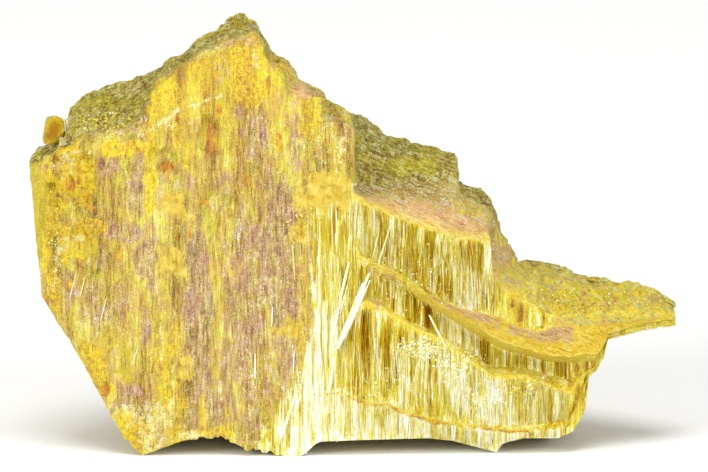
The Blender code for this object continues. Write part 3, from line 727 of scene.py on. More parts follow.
GOLD = [
    (-12.7, 45.6, 1.9, 4.2, 1.0), (-33.6, 34.0, 3.0, 3.1, 0.95),
    (-27.5, 37.0, 3.4, 1.0, 0.1, 0.95), (-24.2, 34.6, 0.8, 5.0, 0.7),
    (-22.9, 43.0, 1.7, 2.5, 0.1, 0.75), (-9.0, 46.0, 1.3, 2.0, 0.6),
    (-5.0, 41.0, 1.6, 3.0, 0.55), (-1.8, 36.5, 1.7, 3.5, 0.5),
    (-30.5, 10.5, 1.8, 3.4, -0.55, 0.65), (-26.0, 3.5, 2.5, 2.0, 0.75),
    (-22.0, 9.5, 2.2, 6.5, 0.55), (-31.5, 27.5, 2.3, 1.4, 0.8),
    (-32.6, 25.4, 2.6, 2.4, 0.9), (-35.8, 30.0, 1.2, 6.0, 0.7),
    (-36.0, 21.0, 0.8, 4.0, -0.2, 0.6), (-17.5, 2.9, 4.5, 0.9, 0.6),
    (-20.5, 39.0, 1.6, 4.0, 0.5),
]
POWDER = [
    (-3.2, 31.9, 2.9, 2.5, 1.0), (-20.9, 23.2, 0.9, 1.7, -0.25, 1.0),
    (-20.2, 10.8, 0.9, 1.7, 0.8), (-8.2, 15.1, 1.9, 0.75, 0.15, 1.0),
    (-18.1, 5.4, 0.55, 2.2, 0.9), (-16.9, 22.3, 0.4, 1.5, 0.7),
    (-14.7, 22.3, 0.35, 0.9, 0.7), (-22.2, 30.3, 2.2, 1.5, 0.75),
    (-6.1, 26.7, 1.4, 1.3, 0.8), (-0.8, 25.1, 1.1, 1.0, 0.8),
    (-22.5, 23.5, 0.9, 1.6, 0.6), (-19.0, 29.3, 0.8, 2.6, 0.5),
    (-5.0, 29.0, 0.5, 1.6, 0.8), (-1.0, 27.6, 0.7, 1.2, 0.6),
]
# Amber has neither slant nor strength
AMBER = [
    (-22.6, 34.7, 1.3, 0.75), (-17.0, 38.3, 0.85, 1.9), (-28.1, 24.2, 0.32, 0.8),
    (-34.0, 20.4, 0.28, 1.1), (-10.1, 44.8, 0.45, 1.3), (-8.8, 37.8, 0.35, 1.4),
    (-34.0, 32.8, 0.5, 1.2), (-30.8, 29.9, 1.0, 0.25), (-26.6, 37.6, 0.8, 0.45),
    (-16.0, 41.4, 0.35, 1.0), (-37.0, 18.6, 0.6, 1.3), (-17.4, 30.4, 0.9, 0.22),
    (-4.5, 22.6, 0.22, 2.2), (-33.0, 33.2, 0.3, 0.9), (-19.4, 26.8, 0.30, 0.8),
    (-12.6, 33.2, 0.3, 0.9), (-21.0, 40.6, 0.35, 1.0), (-29.6, 8.0, 0.7, 1.1),
]
# Pale patches are nearly white torn fibres and, in part, painted glints where fibres catch light
PALE_AND_GLINT = [
    (-12.3, 10.0, 0.3, 4.5, 0.50), (-11.0, 20.0, 0.22, 4.0, 0.52),
    (-21.5, 9.0, 0.25, 3.2, 0.50), (-22.9, 12.5, 0.25, 3.5, 0.50),
    (-30.5, 16.0, 2.6, 1.4, -0.6, 0.32), (-30.0, 38.9, 2.6, 0.35, 0.2, 0.38),
    (-25.4, 40.0, 0.5, 1.3, 0.9, 0.42), (-15.8, 8.0, 0.2, 4.0, 0.50),
    (-34.4, 35.0, 1.2, 1.8, 0.4, 0.42), (-32.6, 36.6, 1.8, 0.4, 0.2, 0.42),
    (-35.0, 24.4, 0.8, 1.1, 0.7, 0.58), (-11.6, 48.0, 0.4, 1.6, 0.34),
    (-33.2, 26.2, 1.9, 1.5, 0.5, 0.46), (-24.6, 4.8, 3.4, 1.8, 0.60),
    (-15.2, 47.6, 0.3, 1.4, 0.38), (-31.5, 29.0, 0.9, 0.3, 0.3, 0.45),
    (-35.5, 22.0, 0.3, 2.0, 0.3, 0.5), (-24.0, 3.0, 2.4, 2.0, 0.54),
    (-20.0, 40.2, 3.6, 1.2, 0.2, 0.30), (-19.5, 2.6, 1.3, 0.9, 0.5),
    (-22.8, 40.2, 0.55, 1.7, 1.5, 0.75), (-17.6, 42.6, 0.95, 1.1, 3.2, 0.70),
    (-2.2, 36.6, 2.0, 4.6, 0.38),
]
GREEN = [
    (-38.0, 29.0, 1.3, 8.5, 0.05, 0.85), (-29.0, 14.5, 1.8, 2.0, 0.55),
    (-27.6, 10.8, 1.6, 2.2, 0.6), (-31.3, 25.4, 1.2, 2.3, 0.5),
    (32.0, 18.6, 5.5, 1.8, 0.7), (9.1, 35.0, 3.2, 0.9, 0.9),
    (-32.0, 42.4, 1.8, 0.6, 0.3, 0.7), (1.8, 39.3, 1.0, 0.6, 0.5),
]
PINK = [
    (-5.6, 44.3, 2.0, 1.0, -0.3, 0.85), (-9.6, 47.2, 0.8, 1.0, 0.5),
    (-15.0, 49.9, 3.6, 0.7, 0.25, 0.55), (3.4, 20.3, 1.7, 2.4, 0.9),
    (18.6, 23.9, 0.8, 1.5, 0.9), (-31.0, 39.6, 4.0, 0.8, 0.1, 0.6),
    (18.8, 20.9, 1.6, 0.9, -0.5, 0.6), (-7.5, 41.5, 0.9, 2.4, 0.5),
]
# Bright olive yellow on the crust
OLIVE = [
    (7.9, 34.9, 3.6, 1.0, 0.95), (9.6, 37.0, 2.2, 0.6, 0.8),
    (-31.4, 42.7, 2.2, 0.7, 0.85), (-27.0, 42.6, 2.0, 0.9, 0.5),
    (-15.6, 51.2, 0.7, 0.8, 0.9), (-13.6, 52.3, 0.9, 0.8, 0.8),
    (-26.0, 39.8, 1.6, 0.7, 0.6), (-33.6, 40.2, 0.8, 1.2, 0.8),
    (1.8, 36.0, 0.8, 0.6, 0.6), (31.0, 19.8, 5.0, 1.0, 0.7),
    (-1.8, 42.2, 1.5, 0.8, 0.8), (15.6, 28.6, 1.2, 1.2, 0.6),
]
# Where the fibres lie open: darker where they are thick and clear, paler where they are torn,
# and the palest shifts also stand for painted glints
TONE_AND_GLINT_SHIFTS = [
    (2.2, 12.5, 2.4, 4.8, -0.12), (6.5, 14.2, 1.9, 1.9, -0.12),
    (1.5, 13.6, 0.45, 3.0, -0.34), (3.7, 13.0, 0.45, 1.1, -0.34),
    (6.1, 14.3, 0.5, 0.9, -0.36), (6.9, 8.3, 0.3, 2.4, -0.30),
    (-3.0, 17.0, 3.0, 7.0, 0.14), (-5.0, 8.5, 2.6, 8.0, 0.2, 0.14),
    (-1.8, 28.0, 2.6, 2.4, 0.12), (9.0, 17.4, 0.7, 1.6, -0.22),
    (12.6, 8.8, 1.2, 3.4, -0.35, 0.45), (16.6, 7.2, 2.4, 1.3, 0.50),
    (17.6, 4.9, 2.0, 1.2, 0.25), (7.6, 9.3, 3.0, 3.4, 0.12),
    (9.3, 7.0, 0.35, 1.6, -0.45), (9.2, 10.5, 0.3, 1.4, -0.35),
    (20.8, 7.0, 3.4, 2.2, -0.02), (24.6, 4.4, 2.0, 1.6, -0.14),
    (27.4, 6.0, 1.3, 4.2, -0.30), (-5.4, 9.0, 5.0, 6.0, 0.1, 0.03),
    (7.4, 21.6, 2.6, 3.8, -0.06), (11.6, 20.7, 0.5, 1.7, -0.38),
    (9.2, 25.4, 0.5, 1.2, -0.30), (14.0, 24.3, 0.5, 1.3, -0.30),
    (13.6, 20.0, 2.2, 2.8, 0.16), (16.2, 23.8, 0.7, 2.4, 0.35),
    (1.2, 27.6, 1.3, 3.2, 0.05), (5.2, 27.0, 1.0, 1.6, 0.14),
    (6.9, 17.9, 0.5, 1.9, -0.30), (8.8, 18.0, 0.8, 1.5, -0.35),
    (9.3, 15.7, 0.5, 1.2, -0.25), (12.0, 15.2, 0.7, 2.0, -0.2, 0.30),
    (-3.0, 27.5, 2.4, 2.6, -0.04),
    (-1.4, 12.0, 1.3, 4.5, 0.15, -0.12), (-5.5, 5.0, 4.4, 4.2, 0.2, 0.12),
]
print(len(LILAC_SHEEN), "lilac,", len(GOLD), "gold and", len(AMBER), "amber patches, and others")

# %% [markdown]
# ## From patches to masks
# A mask is a number from 0 to 1 at each point of the grid. A patch is a box frayed by noise
# along the fibres, because a colour here ends where a fibre ends. Where two meet the stronger
# one counts. An amber chip is cut out by six lines, because clear grains break straight.

# %% Painted masks
CHIP_SIDES = 6
CHIP_TURN = 0.35
CHIP_REACH = (0.88, 0.22)
CHIP_FRAY = 0.28


def paint(patches, seed):
    """Lay frayed patches over each other, keep the strongest, and leave the back bare."""
    total = np.zeros((ROWS, COLUMNS))
    edge_fray = fray_noise(face_x, face_rise, seed)
    for *place, strength in patches:
        total = np.maximum(total, strength * frayed_box(face_x, face_rise, edge_fray, *place))
    return total * on_front


def chip(x, rise, middle_x, middle_rise, half_x, half_rise, number):
    """An angular patch: inside the six lines n.p = reach, each with its own turn and reach."""
    across = (x - middle_x) / half_x
    along = (rise - middle_rise) / half_rise
    farthest = np.full(x.shape, -1.0)
    for side in range(CHIP_SIDES):
        cell = np.array([side, number, 0])
        angle = 2.0 * math.pi * (side + CHIP_TURN * lattice_value(cell, 291)) / CHIP_SIDES
        reach = CHIP_REACH[0] + CHIP_REACH[1] * lattice_value(cell, 293)
        distance = (math.cos(angle) * across + math.sin(angle) * along) / reach
        farthest = np.maximum(farthest, distance)
    farthest += CHIP_FRAY * fibre_noise(x, rise, 0.30, 0.9, 297)
    return 1.0 - ease(0.85, 1.05, farthest)


amber_chips = [chip(face_x, face_rise, *place, number) for number, place in enumerate(AMBER)]
masks = {
    "lilac_sheen": paint(LILAC_SHEEN, 201),
    "gold": paint(GOLD, 211),
    "powder": paint(POWDER, 221),
    "amber": np.max(amber_chips, axis=0) * on_front,
    "pale_and_glint": paint(PALE_AND_GLINT, 241),
    "green": paint(GREEN, 251),
    "pink": paint(PINK, 261),
    "olive": paint(OLIVE, 265),
}
print("painted:", ", ".join(masks))

# %% [markdown]
# ## Where the fibres lie open
# Right of a ragged line down the face, and on every curtain, the fibres lie bare and look like
# silk. One mask, the tone, runs from thick clear amber at 0 to torn white at 1. Colours could
# be painted instead, but the loose fibres laid on later can read the same tone. Each curtain
# has its own level. Hollows of the relief are darker and ridges lighter: painted shade and
# painted light. The shifts mark single places, and the palest of them stand for painted glints.

# %% Open fibres and their tone
CURTAIN_TONE = {"lower edge": 0.84, "third foot": 0.65, "second foot": 0.53, "first foot": 0.55}
FACE_TONE = 0.76
TREAD_TONE = 0.62
HOLLOW_SHADE_TONE = -0.35
RIDGE_LIGHT_TONE = 0.18
FULL_RELIEF = 0.3
SILK_EDGE = [(-2.0, -11.5), (0.0, -11.0), (3.0, -10.4), (6.0, -8.6), (9.0, -6.9), (13.0, -5.2),
             (18.0, -4.4), (24.0, -4.7), (26.0, -5.6), (31.0, -5.8), (33.0, -3.4), (34.5, 0.6)]
SILK_TOP = 33.0

fray = 1.5 * fibre_noise(face_x, face_rise, 0.9, 5.0, 271)
fray += 0.6 * fibre_noise(face_x, face_rise, 0.4, 2.0, 272)
silk_edge = read_line(SILK_EDGE, face_rise.ravel()).reshape(face_rise.shape)
silk_face = ease(-0.9, 0.9, face_x - silk_edge + fray) * (face_rise < SILK_TOP)
silk_face = silk_face * (1.0 - ease(0.6, 1.6, face_x))
open_fibres = np.maximum(zone["curtain"], zone["tread"])
open_fibres = open_fibres * (1.0 - ease(31.0, 32.6, face_rise) * (1.0 - step_start))
masks["silk"] = np.clip(np.maximum(silk_face, open_fibres), 0.0, 1.0) * on_front
tone = np.full((ROWS, COLUMNS), FACE_TONE)
for name in TREAD_GUIDES:
    tone += rows_of([name]) * stepped * (TREAD_TONE - FACE_TONE)
for name, level in CURTAIN_TONE.items():
    tone += rows_of([name]) * stepped * (level - FACE_TONE)
tone_fray = fray_noise(face_x, face_rise, 281)
for *place, shift in TONE_AND_GLINT_SHIFTS:
    tone += shift * frayed_box(face_x, face_rise, tone_fray, *place)
# Painted shade and light: the colour darkens in the relief's hollows and lightens on its ridges
tone += HOLLOW_SHADE_TONE * np.clip(-height / FULL_RELIEF, 0.0, 1.0) * masks["silk"]
tone += RIDGE_LIGHT_TONE * np.clip(height / FULL_RELIEF, 0.0, 1.0) * masks["silk"]
masks["tone"] = np.clip(tone, 0.0, 1.0)
print("mean tone of the open fibres:", round(float(masks["tone"][masks["silk"] > 0.5].mean()), 2))

# %% [markdown]
# ## Masks that follow the shape
# Crests are bright lines, the lowest one amber. Crust covers the lip, the riser and the top of
# the slope, and pink the slope's foot and the widest ledge. These masks could be painted too,
# but read from the zones and guide lines they stay on their edge when a line is moved. On the
# back, noise spreads crust, gold and olive. Then every mask is stored on the mesh.

# %% Masks that come from the zones
CREST_WIDTH = {"third crest": 0.24, "second crest": 0.34, "first crest": 0.66}
AMBER_LINE_WIDTH = 0.30
REAR_CRUST_PATCH = 9.0
REAR_GOLD_PATCH = 7.0
REAR_OLIVE_PATCH = 8.0

crest_line = np.zeros((ROWS, COLUMNS))
for name, width in CREST_WIDTH.items():
    away = (face_rise - face_rise[first_row(name)]) / width
    crest_line = np.maximum(crest_line, np.exp(-away ** 2) * on_front)
crest_breaks = 0.70 + 0.5 * fibre_noise(face_x, face_rise, 0.9, 50.0, 301)
underside = 0.85 * rows_of(["undercut"]) * along_x(5.0, 10.0)
masks["crest"] = np.clip(np.maximum(crest_line * stepped * crest_breaks, underside), 0.0, 1.0)
away = (face_rise - face_rise[first_row("lowest crest")]) / AMBER_LINE_WIDTH
amber_line = np.exp(-away ** 2) * on_front * stepped * (1.0 - along_x(20.0, 24.0))
masks["amber"] = np.maximum(masks["amber"], np.clip(1.1 * amber_line * crest_breaks, 0.0, 1.0))
band_share = share_column * np.ones((1, COLUMNS))
near_lip = np.maximum(ease(0.05, 0.35, band_share), along_x(*RISER_START))
clean_edge = 0.8 * along_x(-11.0, -9.0) * (x_columns < 0.4)
crust_mask = zone["band"] * near_lip * (1.0 - clean_edge)
crust_mask = np.maximum(crust_mask, zone["riser"] * (1.0 - wing))
bare_slope = zone["slope"] * (1.0 - wing)
slope_top = bare_slope * ease(0.25, 0.85, band_share) * (1.0 - 0.55 * along_x(9.0, 13.5))
crust_mask = np.maximum(crust_mask, slope_top)
crust_mask = np.maximum(crust_mask * (1.0 - 0.55 * zone["wing"]), 0.35 * zone["wing"])
rear_crust = np.clip(0.66 + 0.6 * rock_noise(bare, REAR_CRUST_PATCH, 321), 0.0, 1.0)
crust_mask = np.maximum(crust_mask, rear_crust * zone["rear"])
masks["crust"] = np.clip(crust_mask, 0.0, 1.0)
rear_gold = ease(0.0, 0.5, rock_noise(bare, REAR_GOLD_PATCH, 331))
masks["gold"] = np.maximum(masks["gold"], 0.9 * rear_gold * zone["rear"])
rear_olive = ease(0.1, 0.6, rock_noise(bare, REAR_OLIVE_PATCH, 341))
masks["olive"] = np.maximum(masks["olive"], 0.8 * rear_olive * zone["rear"])
masks["speckled"] = np.clip(np.maximum(slope_top * 1.6, bare_slope), 0.0, 1.0)
masks["left"] = (1.0 - along_x(-12.0, -10.0)) * np.ones((ROWS, 1))
slope_pink = bare_slope * (1.0 - 0.65 * ease(0.25, 0.9, band_share))
tread_pink = zone["tread"] * rows_of(["second crest"]) * ease(0.2, 0.6, band_share)
tread_pink = tread_pink * along_x(7.0, 11.0) * (1.0 - along_x(25.5, 27.5))
tread_pink = tread_pink * (1.0 - np.exp(-((x_columns - 18.3) / 0.6) ** 2))
tread_pink = tread_pink * (0.95 + 0.4 * fibre_noise(face_x, face_rise, 1.2, 50.0, 311))
pink_bands = np.maximum(0.8 * slope_pink, 0.95 * tread_pink)
masks["pink"] = np.clip(np.maximum(masks["pink"], pink_bands), 0.0, 1.0)
masks["rich"] = ease(34.0, 50.0, face_rise) * zone["face"]
wide_tread = rows_of(["second crest", "undercut"]) * along_x(6.0, 11.0)
masks["tread"] = zone["tread"] * np.maximum(wide_tread, 0.25)
masks["crumple"] = crumple * zone["face"]
masks["wing"] = zone["wing"]
for name, mask in masks.items():
    closed_mask = close_mask(mask).ravel()
    write_mask(stone, name, np.concatenate([closed_mask, [0.0, 0.0]]))
print("masks:", ", ".join(masks))

# %% [markdown]
# ## Node helpers
# Materials made in code stay readable when a node is one line. These helpers add a node, set
# its sockets, and join whatever is itself a socket.

# %% Node helpers
def srgb(red, green, blue):
    """A colour as a screen gives it, 0 to 255, as the linear colour that shaders use."""
    scaled = np.array([red, green, blue]) / 255.0
    linear = np.where(scaled <= 0.04045, scaled / 12.92, ((scaled + 0.055) / 1.055) ** 2.4)
    return (*[float(value) for value in linear], 1.0)


def add_node(tree, kind, settings=None, **sockets):
    """Add a node, set its properties, and fill its inputs by name or number."""
    node = tree.nodes.new(kind)
    for key, value in (settings or {}).items():
        setattr(node, key, value)
    for key, value in sockets.items():
        name = key.replace("_", " ")
        is_number = key[0] == "n" and key[1:].isdigit()
        target = node.inputs[int(key[1:]) if is_number else name]
        if isinstance(value, bpy.types.NodeSocket):
            tree.links.new(value, target)
        else:
            target.default_value = value
    return node


def mix_colour(tree, factor, first, second, blend="MIX"):
    """Mix two colours by a factor and give the result socket."""
    node = add_node(tree, "ShaderNodeMix", {"data_type": "RGBA", "blend_type": blend},
                    n0=factor, n6=first, n7=second)
    return node.outputs[2]


def mix_value(tree, factor, first, second):
    """Mix two numbers by a factor and give the result socket."""
    node = add_node(tree, "ShaderNodeMix", {"data_type": "FLOAT"}, n0=factor, n2=first, n3=second)
    return node.outputs[0]


print("a mid grey of 128 is", round(srgb(128, 128, 128)[0], 3), "to a shader")

# %% Numbers, bumps, masks and groups
def math_node(tree, operation, first, second, clamp=False):
    """One Math node. With clamp, its result is kept between 0 and 1."""
    node = add_node(tree, "ShaderNodeMath", {"operation": operation, "use_clamp": clamp},
                    n0=first, n1=second)
    return node.outputs[0]


def bump(tree, strength, depth, height, normal=None):
    """Tilt the normal by a height that is a depth in millimetres, on top of another bump."""
    below = {} if normal is None else {"Normal": normal}
    node = add_node(tree, "ShaderNodeBump", None, Strength=strength, Distance=depth * MILLIMETRE,
                    Height=height, **below)
    return node.outputs["Normal"]


def turn_pattern(tree, vector, angle):
    """Turn coordinates in the plane of the face."""
    node = add_node(tree, "ShaderNodeMapping", {"vector_type": "POINT"}, Vector=vector,
                    Rotation=(0.0, angle, 0.0))
    return node.outputs["Vector"]


def remap(tree, value, low, high, new_low=0.0, new_high=1.0):
    """Stretch a range of values to a new one, clamped."""
    node = add_node(tree, "ShaderNodeMapRange", None, Value=value, From_Min=low, From_Max=high,
                    To_Min=new_low, To_Max=new_high)
    return node.outputs["Result"]


def read_mask(tree, name):
    """Read one of the stored masks."""
    return add_node(tree, "ShaderNodeAttribute", {"attribute_name": name}).outputs["Fac"]


def new_group(name, inputs, outputs):
    """A node group; gives its tree, what it takes and what it gives, as sockets by name.

    An input of None is a vector and the others are numbers, and an output Color is a colour.
    """
    tree = bpy.data.node_groups.new(name, "ShaderNodeTree")
    for socket, value in inputs.items():
        kind = "NodeSocketVector" if value is None else "NodeSocketFloat"
        item = tree.interface.new_socket(socket, in_out="INPUT", socket_type=kind)
        if value is not None:
            item.default_value = value
    for socket in outputs:
        kind = "NodeSocketColor" if socket == "Color" else "NodeSocketFloat"
        tree.interface.new_socket(socket, in_out="OUTPUT", socket_type=kind)
    takes = tree.nodes.new("NodeGroupInput").outputs
    return tree, takes, tree.nodes.new("NodeGroupOutput").inputs


def use_group(tree, group, **sockets):
    """Place a node group in a tree."""
    return add_node(tree, "ShaderNodeGroup", {"node_tree": group}, **sockets)


print("node groups so far:", len(bpy.data.node_groups))

# %% [markdown]
# ## Patterns shared by the finishes
# Every finish here needs the same three patterns: streaks along the fibres, fine grain, and
# the clumps of a crust. Each is a node group, built once, with named inputs. A helper gives
# every material Object coordinates turned by the lean of the face and counted in millimetres,
# so a streak keeps its direction and its real width on every piece.

# %% Pattern groups
def face_millimetres(tree):
    """Object coordinates turned into the frame of the face, in millimetres."""
    where = add_node(tree, "ShaderNodeTexCoord")
    turned = add_node(tree, "ShaderNodeMapping", {"vector_type": "POINT"},
                      Vector=where.outputs["Object"], Rotation=(LEAN_BACK, 0.0, 0.0),
                      Scale=(1.0 / MILLIMETRE,) * 3)
    return turned.outputs["Vector"]


def make_streaks():
    """Broad, middle and fine streaks along the fibres, each from 0 to 1, and their height."""
    tree, takes, gives = new_group("fibre_streaks", {"Vector": None, "Width": 0.5, "Length": 8.0},
                                   ["Broad", "Middle", "Fine", "Height"])
    across = math_node(tree, "DIVIDE", 1.0, takes["Width"])
    along = math_node(tree, "DIVIDE", 1.0, takes["Length"])
    scale = add_node(tree, "ShaderNodeCombineXYZ", None, X=across, Y=across, Z=along)
    stretched = add_node(tree, "ShaderNodeVectorMath", {"operation": "MULTIPLY"},
                         n0=takes["Vector"], n1=scale.outputs["Vector"])
    results = []
    for times, detail in ((0.35, 2.0), (1.0, 2.0), (2.6, 1.0)):
        noise = add_node(tree, "ShaderNodeTexNoise", None, Vector=stretched.outputs["Vector"],
                         Scale=times, Detail=detail, Roughness=0.6)
        results.append(remap(tree, noise.outputs["Fac"], 0.28, 0.72))
    for name, value in zip(("Broad", "Middle", "Fine"), results):
        tree.links.new(value, gives[name])
    tree.links.new(math_node(tree, "ADD", results[1], results[2]), gives["Height"])
    return tree


def make_grain():
    """Fine speckle and larger mottling, each from 0 to 1."""
    tree, takes, gives = new_group("grain", {"Vector": None, "Size": 0.25}, ["Speckle", "Mottle"])
    scale = math_node(tree, "DIVIDE", 1.0, takes["Size"])
    fine = add_node(tree, "ShaderNodeTexNoise", None, Vector=takes["Vector"],
                    Scale=scale, Detail=2.0, Roughness=0.7)
    coarse_scale = math_node(tree, "DIVIDE", 0.14, takes["Size"])
    coarse = add_node(tree, "ShaderNodeTexNoise", None, Vector=takes["Vector"],
                      Scale=coarse_scale, Detail=3.0, Roughness=0.6)
    tree.links.new(remap(tree, fine.outputs["Fac"], 0.3, 0.7), gives["Speckle"])
    tree.links.new(remap(tree, coarse.outputs["Fac"], 0.32, 0.68), gives["Mottle"])
    return tree


def make_clumps():
    """The lumps of a crust: cell distance broken up by noise, as a mask and a height."""
    tree, takes, gives = new_group("crust_clumps", {"Vector": None, "Size": 0.9},
                                   ["Clump", "Grit", "Height"])
    scale = math_node(tree, "DIVIDE", 1.0, takes["Size"])
    cells = add_node(tree, "ShaderNodeTexVoronoi", {"feature": "SMOOTH_F1"},
                     Vector=takes["Vector"], Scale=scale, Smoothness=0.6)
    grit = add_node(tree, "ShaderNodeTexNoise", None, Vector=takes["Vector"],
                    Scale=math_node(tree, "MULTIPLY", scale, 3.2), Detail=4.0, Roughness=0.75)
    clump = remap(tree, cells.outputs["Distance"], 0.15, 0.75)
    grit_value = remap(tree, grit.outputs["Fac"], 0.3, 0.7)
    tree.links.new(clump, gives["Clump"])
    tree.links.new(grit_value, gives["Grit"])
    tree.links.new(math_node(tree, "SUBTRACT", grit_value, clump), gives["Height"])
    return tree


STREAKS = make_streaks()
GRAIN = make_grain()
CLUMPS = make_clumps()
print("pattern groups:", len(bpy.data.node_groups))

# %% [markdown]
# ## Palettes
# One colour with lighter and darker noise would look like paint, because on the stone the hue
# changes too. So each finish has a palette, a row of colours from dark to light, and a pattern
# runs along it. Orpiment bends light strongly, so its index is high.

# %% Palettes, each as a share from 0 to 1 and a colour
FACE_STOPS = [(0.0, (116, 76, 12)), (0.20, (172, 138, 54)), (0.42, (208, 184, 98)),
              (0.60, (226, 208, 98)), (0.80, (242, 230, 142)), (1.0, (255, 251, 220))]
# The lilac palette is painted sheen, the shine of flat cleavage leaves
LILAC_SHEEN_STOPS = [(0.0, (104, 68, 20)), (0.22, (166, 130, 82)), (0.50, (203, 172, 136)),
               (0.78, (232, 211, 176)), (1.0, (255, 251, 240))]
SILK_STOPS = [(0.0, (144, 92, 2)), (0.12, (180, 126, 8)), (0.28, (203, 166, 16)),
              (0.44, (213, 192, 34)), (0.60, (228, 214, 62)), (0.76, (240, 231, 114)),
              (0.89, (251, 246, 194)), (1.0, (255, 255, 248))]
GOLD_STOPS = [(0.0, (150, 98, 0)), (0.28, (204, 156, 0)), (0.55, (232, 200, 0)),
              (0.80, (245, 225, 20)), (1.0, (255, 246, 140))]
AMBER_STOPS = [(0.0, (146, 82, 0)), (0.35, (190, 124, 0)), (0.70, (222, 166, 4)),
               (1.0, (244, 208, 44))]
PINK_STOPS = [(0.0, (146, 94, 56)), (0.30, (202, 154, 100)), (0.60, (226, 188, 128)),
              (0.85, (242, 218, 154)), (1.0, (254, 246, 214))]
SLOPE_STOPS = [(0.0, (114, 76, 34)), (0.22, (174, 134, 70)), (0.46, (214, 184, 98)),
               (0.68, (232, 212, 118)), (0.86, (248, 236, 178)), (1.0, (255, 253, 240))]
# Its top colours are near white: painted glints on the crust's grains
CRUST_STOPS = [(0.0, (70, 50, 10)), (0.20, (148, 124, 44)), (0.42, (216, 198, 84)),
               (0.62, (244, 233, 118)), (0.80, (255, 251, 204)), (1.0, (255, 255, 248))]
WING_STOPS = [(0.0, (132, 98, 4)), (0.24, (190, 162, 20)), (0.48, (224, 203, 42)),
              (0.76, (246, 233, 104)), (1.0, (255, 253, 220))]
WING_TAN = srgb(212, 176, 118)
CREST_STOPS = [(0.0, (214, 160, 36)), (0.3, (246, 214, 62)), (0.65, (255, 240, 100)),
               (1.0, (255, 252, 190))]
TREAD_STOPS = [(0.0, (180, 130, 30)), (0.25, (220, 178, 50)), (0.55, (242, 210, 72)),
               (0.85, (250, 230, 104)), (1.0, (255, 245, 168))]
GREEN_STOPS = [(0.0, (160, 132, 12)), (0.5, (204, 182, 34)), (1.0, (232, 216, 96))]
# Multiplied over the face, so one patch leans to mauve and the next to lemon yellow
TINT_STOPS = [(0.0, (230, 206, 204)), (0.32, (240, 226, 208)), (0.55, (248, 243, 196)),
              (0.78, (248, 255, 186)), (1.0, (255, 255, 250))]
POWDER_STOPS = [(0.0, (184, 144, 44)), (0.35, (222, 192, 78)), (0.7, (234, 210, 98)),
                (1.0, (246, 230, 142))]
PAINTED_GLINT_COLOUR = srgb(255, 253, 236)
CRUST_YELLOW = srgb(238, 224, 30)
CRUST_GREY = srgb(182, 160, 132)
SPECK_BROWN = srgb(122, 78, 26)
ORPIMENT_INDEX = 1.7
LEDGE_TURN = math.radians(65.0)
CRUST_TURN = math.radians(-58.0)
RICHNESS = 1.05
BRIGHTNESS = 0.95
PALE_AND_GLINT_COVER = 0.62
RICH_COVER = 0.8
FOIL_ROUGH = 0.26
DULL_ROUGH = 0.85
SKIN_GLOSS = 0.3
FIBRE_GLOSS = 0.25


print("colours in the palette of open fibres:", len(SILK_STOPS))

# %% Ramps, sums and new materials
def ramp(tree, value, stops):
    """Turn a value into a colour through a palette."""
    node = add_node(tree, "ShaderNodeValToRGB", None, Fac=value)
    elements = node.color_ramp.elements
    while len(elements) < len(stops):
        elements.new(0.5)
    for element, (share, colour) in zip(elements, stops):
        element.position = share
        element.color = srgb(*colour)
    return node.outputs["Color"]


def weighted(tree, pairs):
    """Sum of values times their weights. The weights add up to 1."""
    total = None
    for value, weight in pairs:
        part = math_node(tree, "MULTIPLY", value, weight)
        total = part if total is None else math_node(tree, "ADD", total, part)
    return total


def start_material(name):
    """A node material with an empty tree but for its shader and output."""
    material = bpy.data.materials.new(name)
    material.use_nodes = True
    tree = material.node_tree
    return material, tree, tree.nodes["Principled BSDF"]


print("materials so far:", len(bpy.data.materials))

# %% [markdown]
# ## Two more shared groups
# A patch on a real stone has no soft edge: it breaks up into flecks. The first group adds noise
# to a mask before it cuts it, so the mask's edge turns into flecks. The second turns the tone
# of open fibres into colour: amber where they are thick and clear, yellow, and then white where
# they are torn; the tone also carries painted shade, painted light and painted glints. The stone
# and the loose fibres share it.

# %% Broken masks and the colour of open fibres
FLECK_SPREAD = {"lilac_sheen": 1.5, "gold": 1.2, "green": 1.2, "silk": 0.6, "pink": 1.2, "pale_and_glint": 1.3,
                "amber": 0.9, "olive": 1.3, "crust": 1.0, "powder": 0.8}


def make_broken_mask():
    """Mask plus noise, cut at a level: amount sets how far the flecks spread."""
    tree, takes, gives = new_group("broken_mask", {"Mask": 0.5, "Noise": 0.5, "Amount": 0.9}, ["Mask"])
    centred = math_node(tree, "SUBTRACT", takes["Noise"], 0.5)
    spread = math_node(tree, "MULTIPLY", centred, takes["Amount"])
    total = math_node(tree, "ADD", takes["Mask"], spread)
    tree.links.new(remap(tree, total, 0.42, 0.66), gives["Mask"])
    return tree


def make_silk_colour():
    """Colour of open fibres from their tone, streaked by three widths of noise."""
    tree, takes, gives = new_group("silk_colour", {"Vector": None, "Tone": 0.5, "Contrast": 2.0},
                                   ["Color", "Value"])
    hairs = use_group(tree, STREAKS, Vector=takes["Vector"], Width=0.26, Length=3.2).outputs
    grain = use_group(tree, GRAIN, Vector=takes["Vector"], Size=0.15).outputs
    mixed = weighted(tree, [(hairs["Broad"], 0.28), (hairs["Middle"], 0.34),
                            (hairs["Fine"], 0.18), (grain["Speckle"], 0.20)])
    centred = math_node(tree, "SUBTRACT", mixed, 0.5)
    spread = math_node(tree, "MULTIPLY", centred, takes["Contrast"])
    value = math_node(tree, "ADD", takes["Tone"], spread, clamp=True)
    tree.links.new(ramp(tree, value, SILK_STOPS), gives["Color"])
    tree.links.new(value, gives["Value"])
    return tree


def broken_mask(tree, name, noise):
    """A stored mask with its edge broken into flecks."""
    return use_group(tree, BROKEN_MASK, Mask=read_mask(tree, name), Noise=noise,
                     Amount=FLECK_SPREAD[name]).outputs["Mask"]


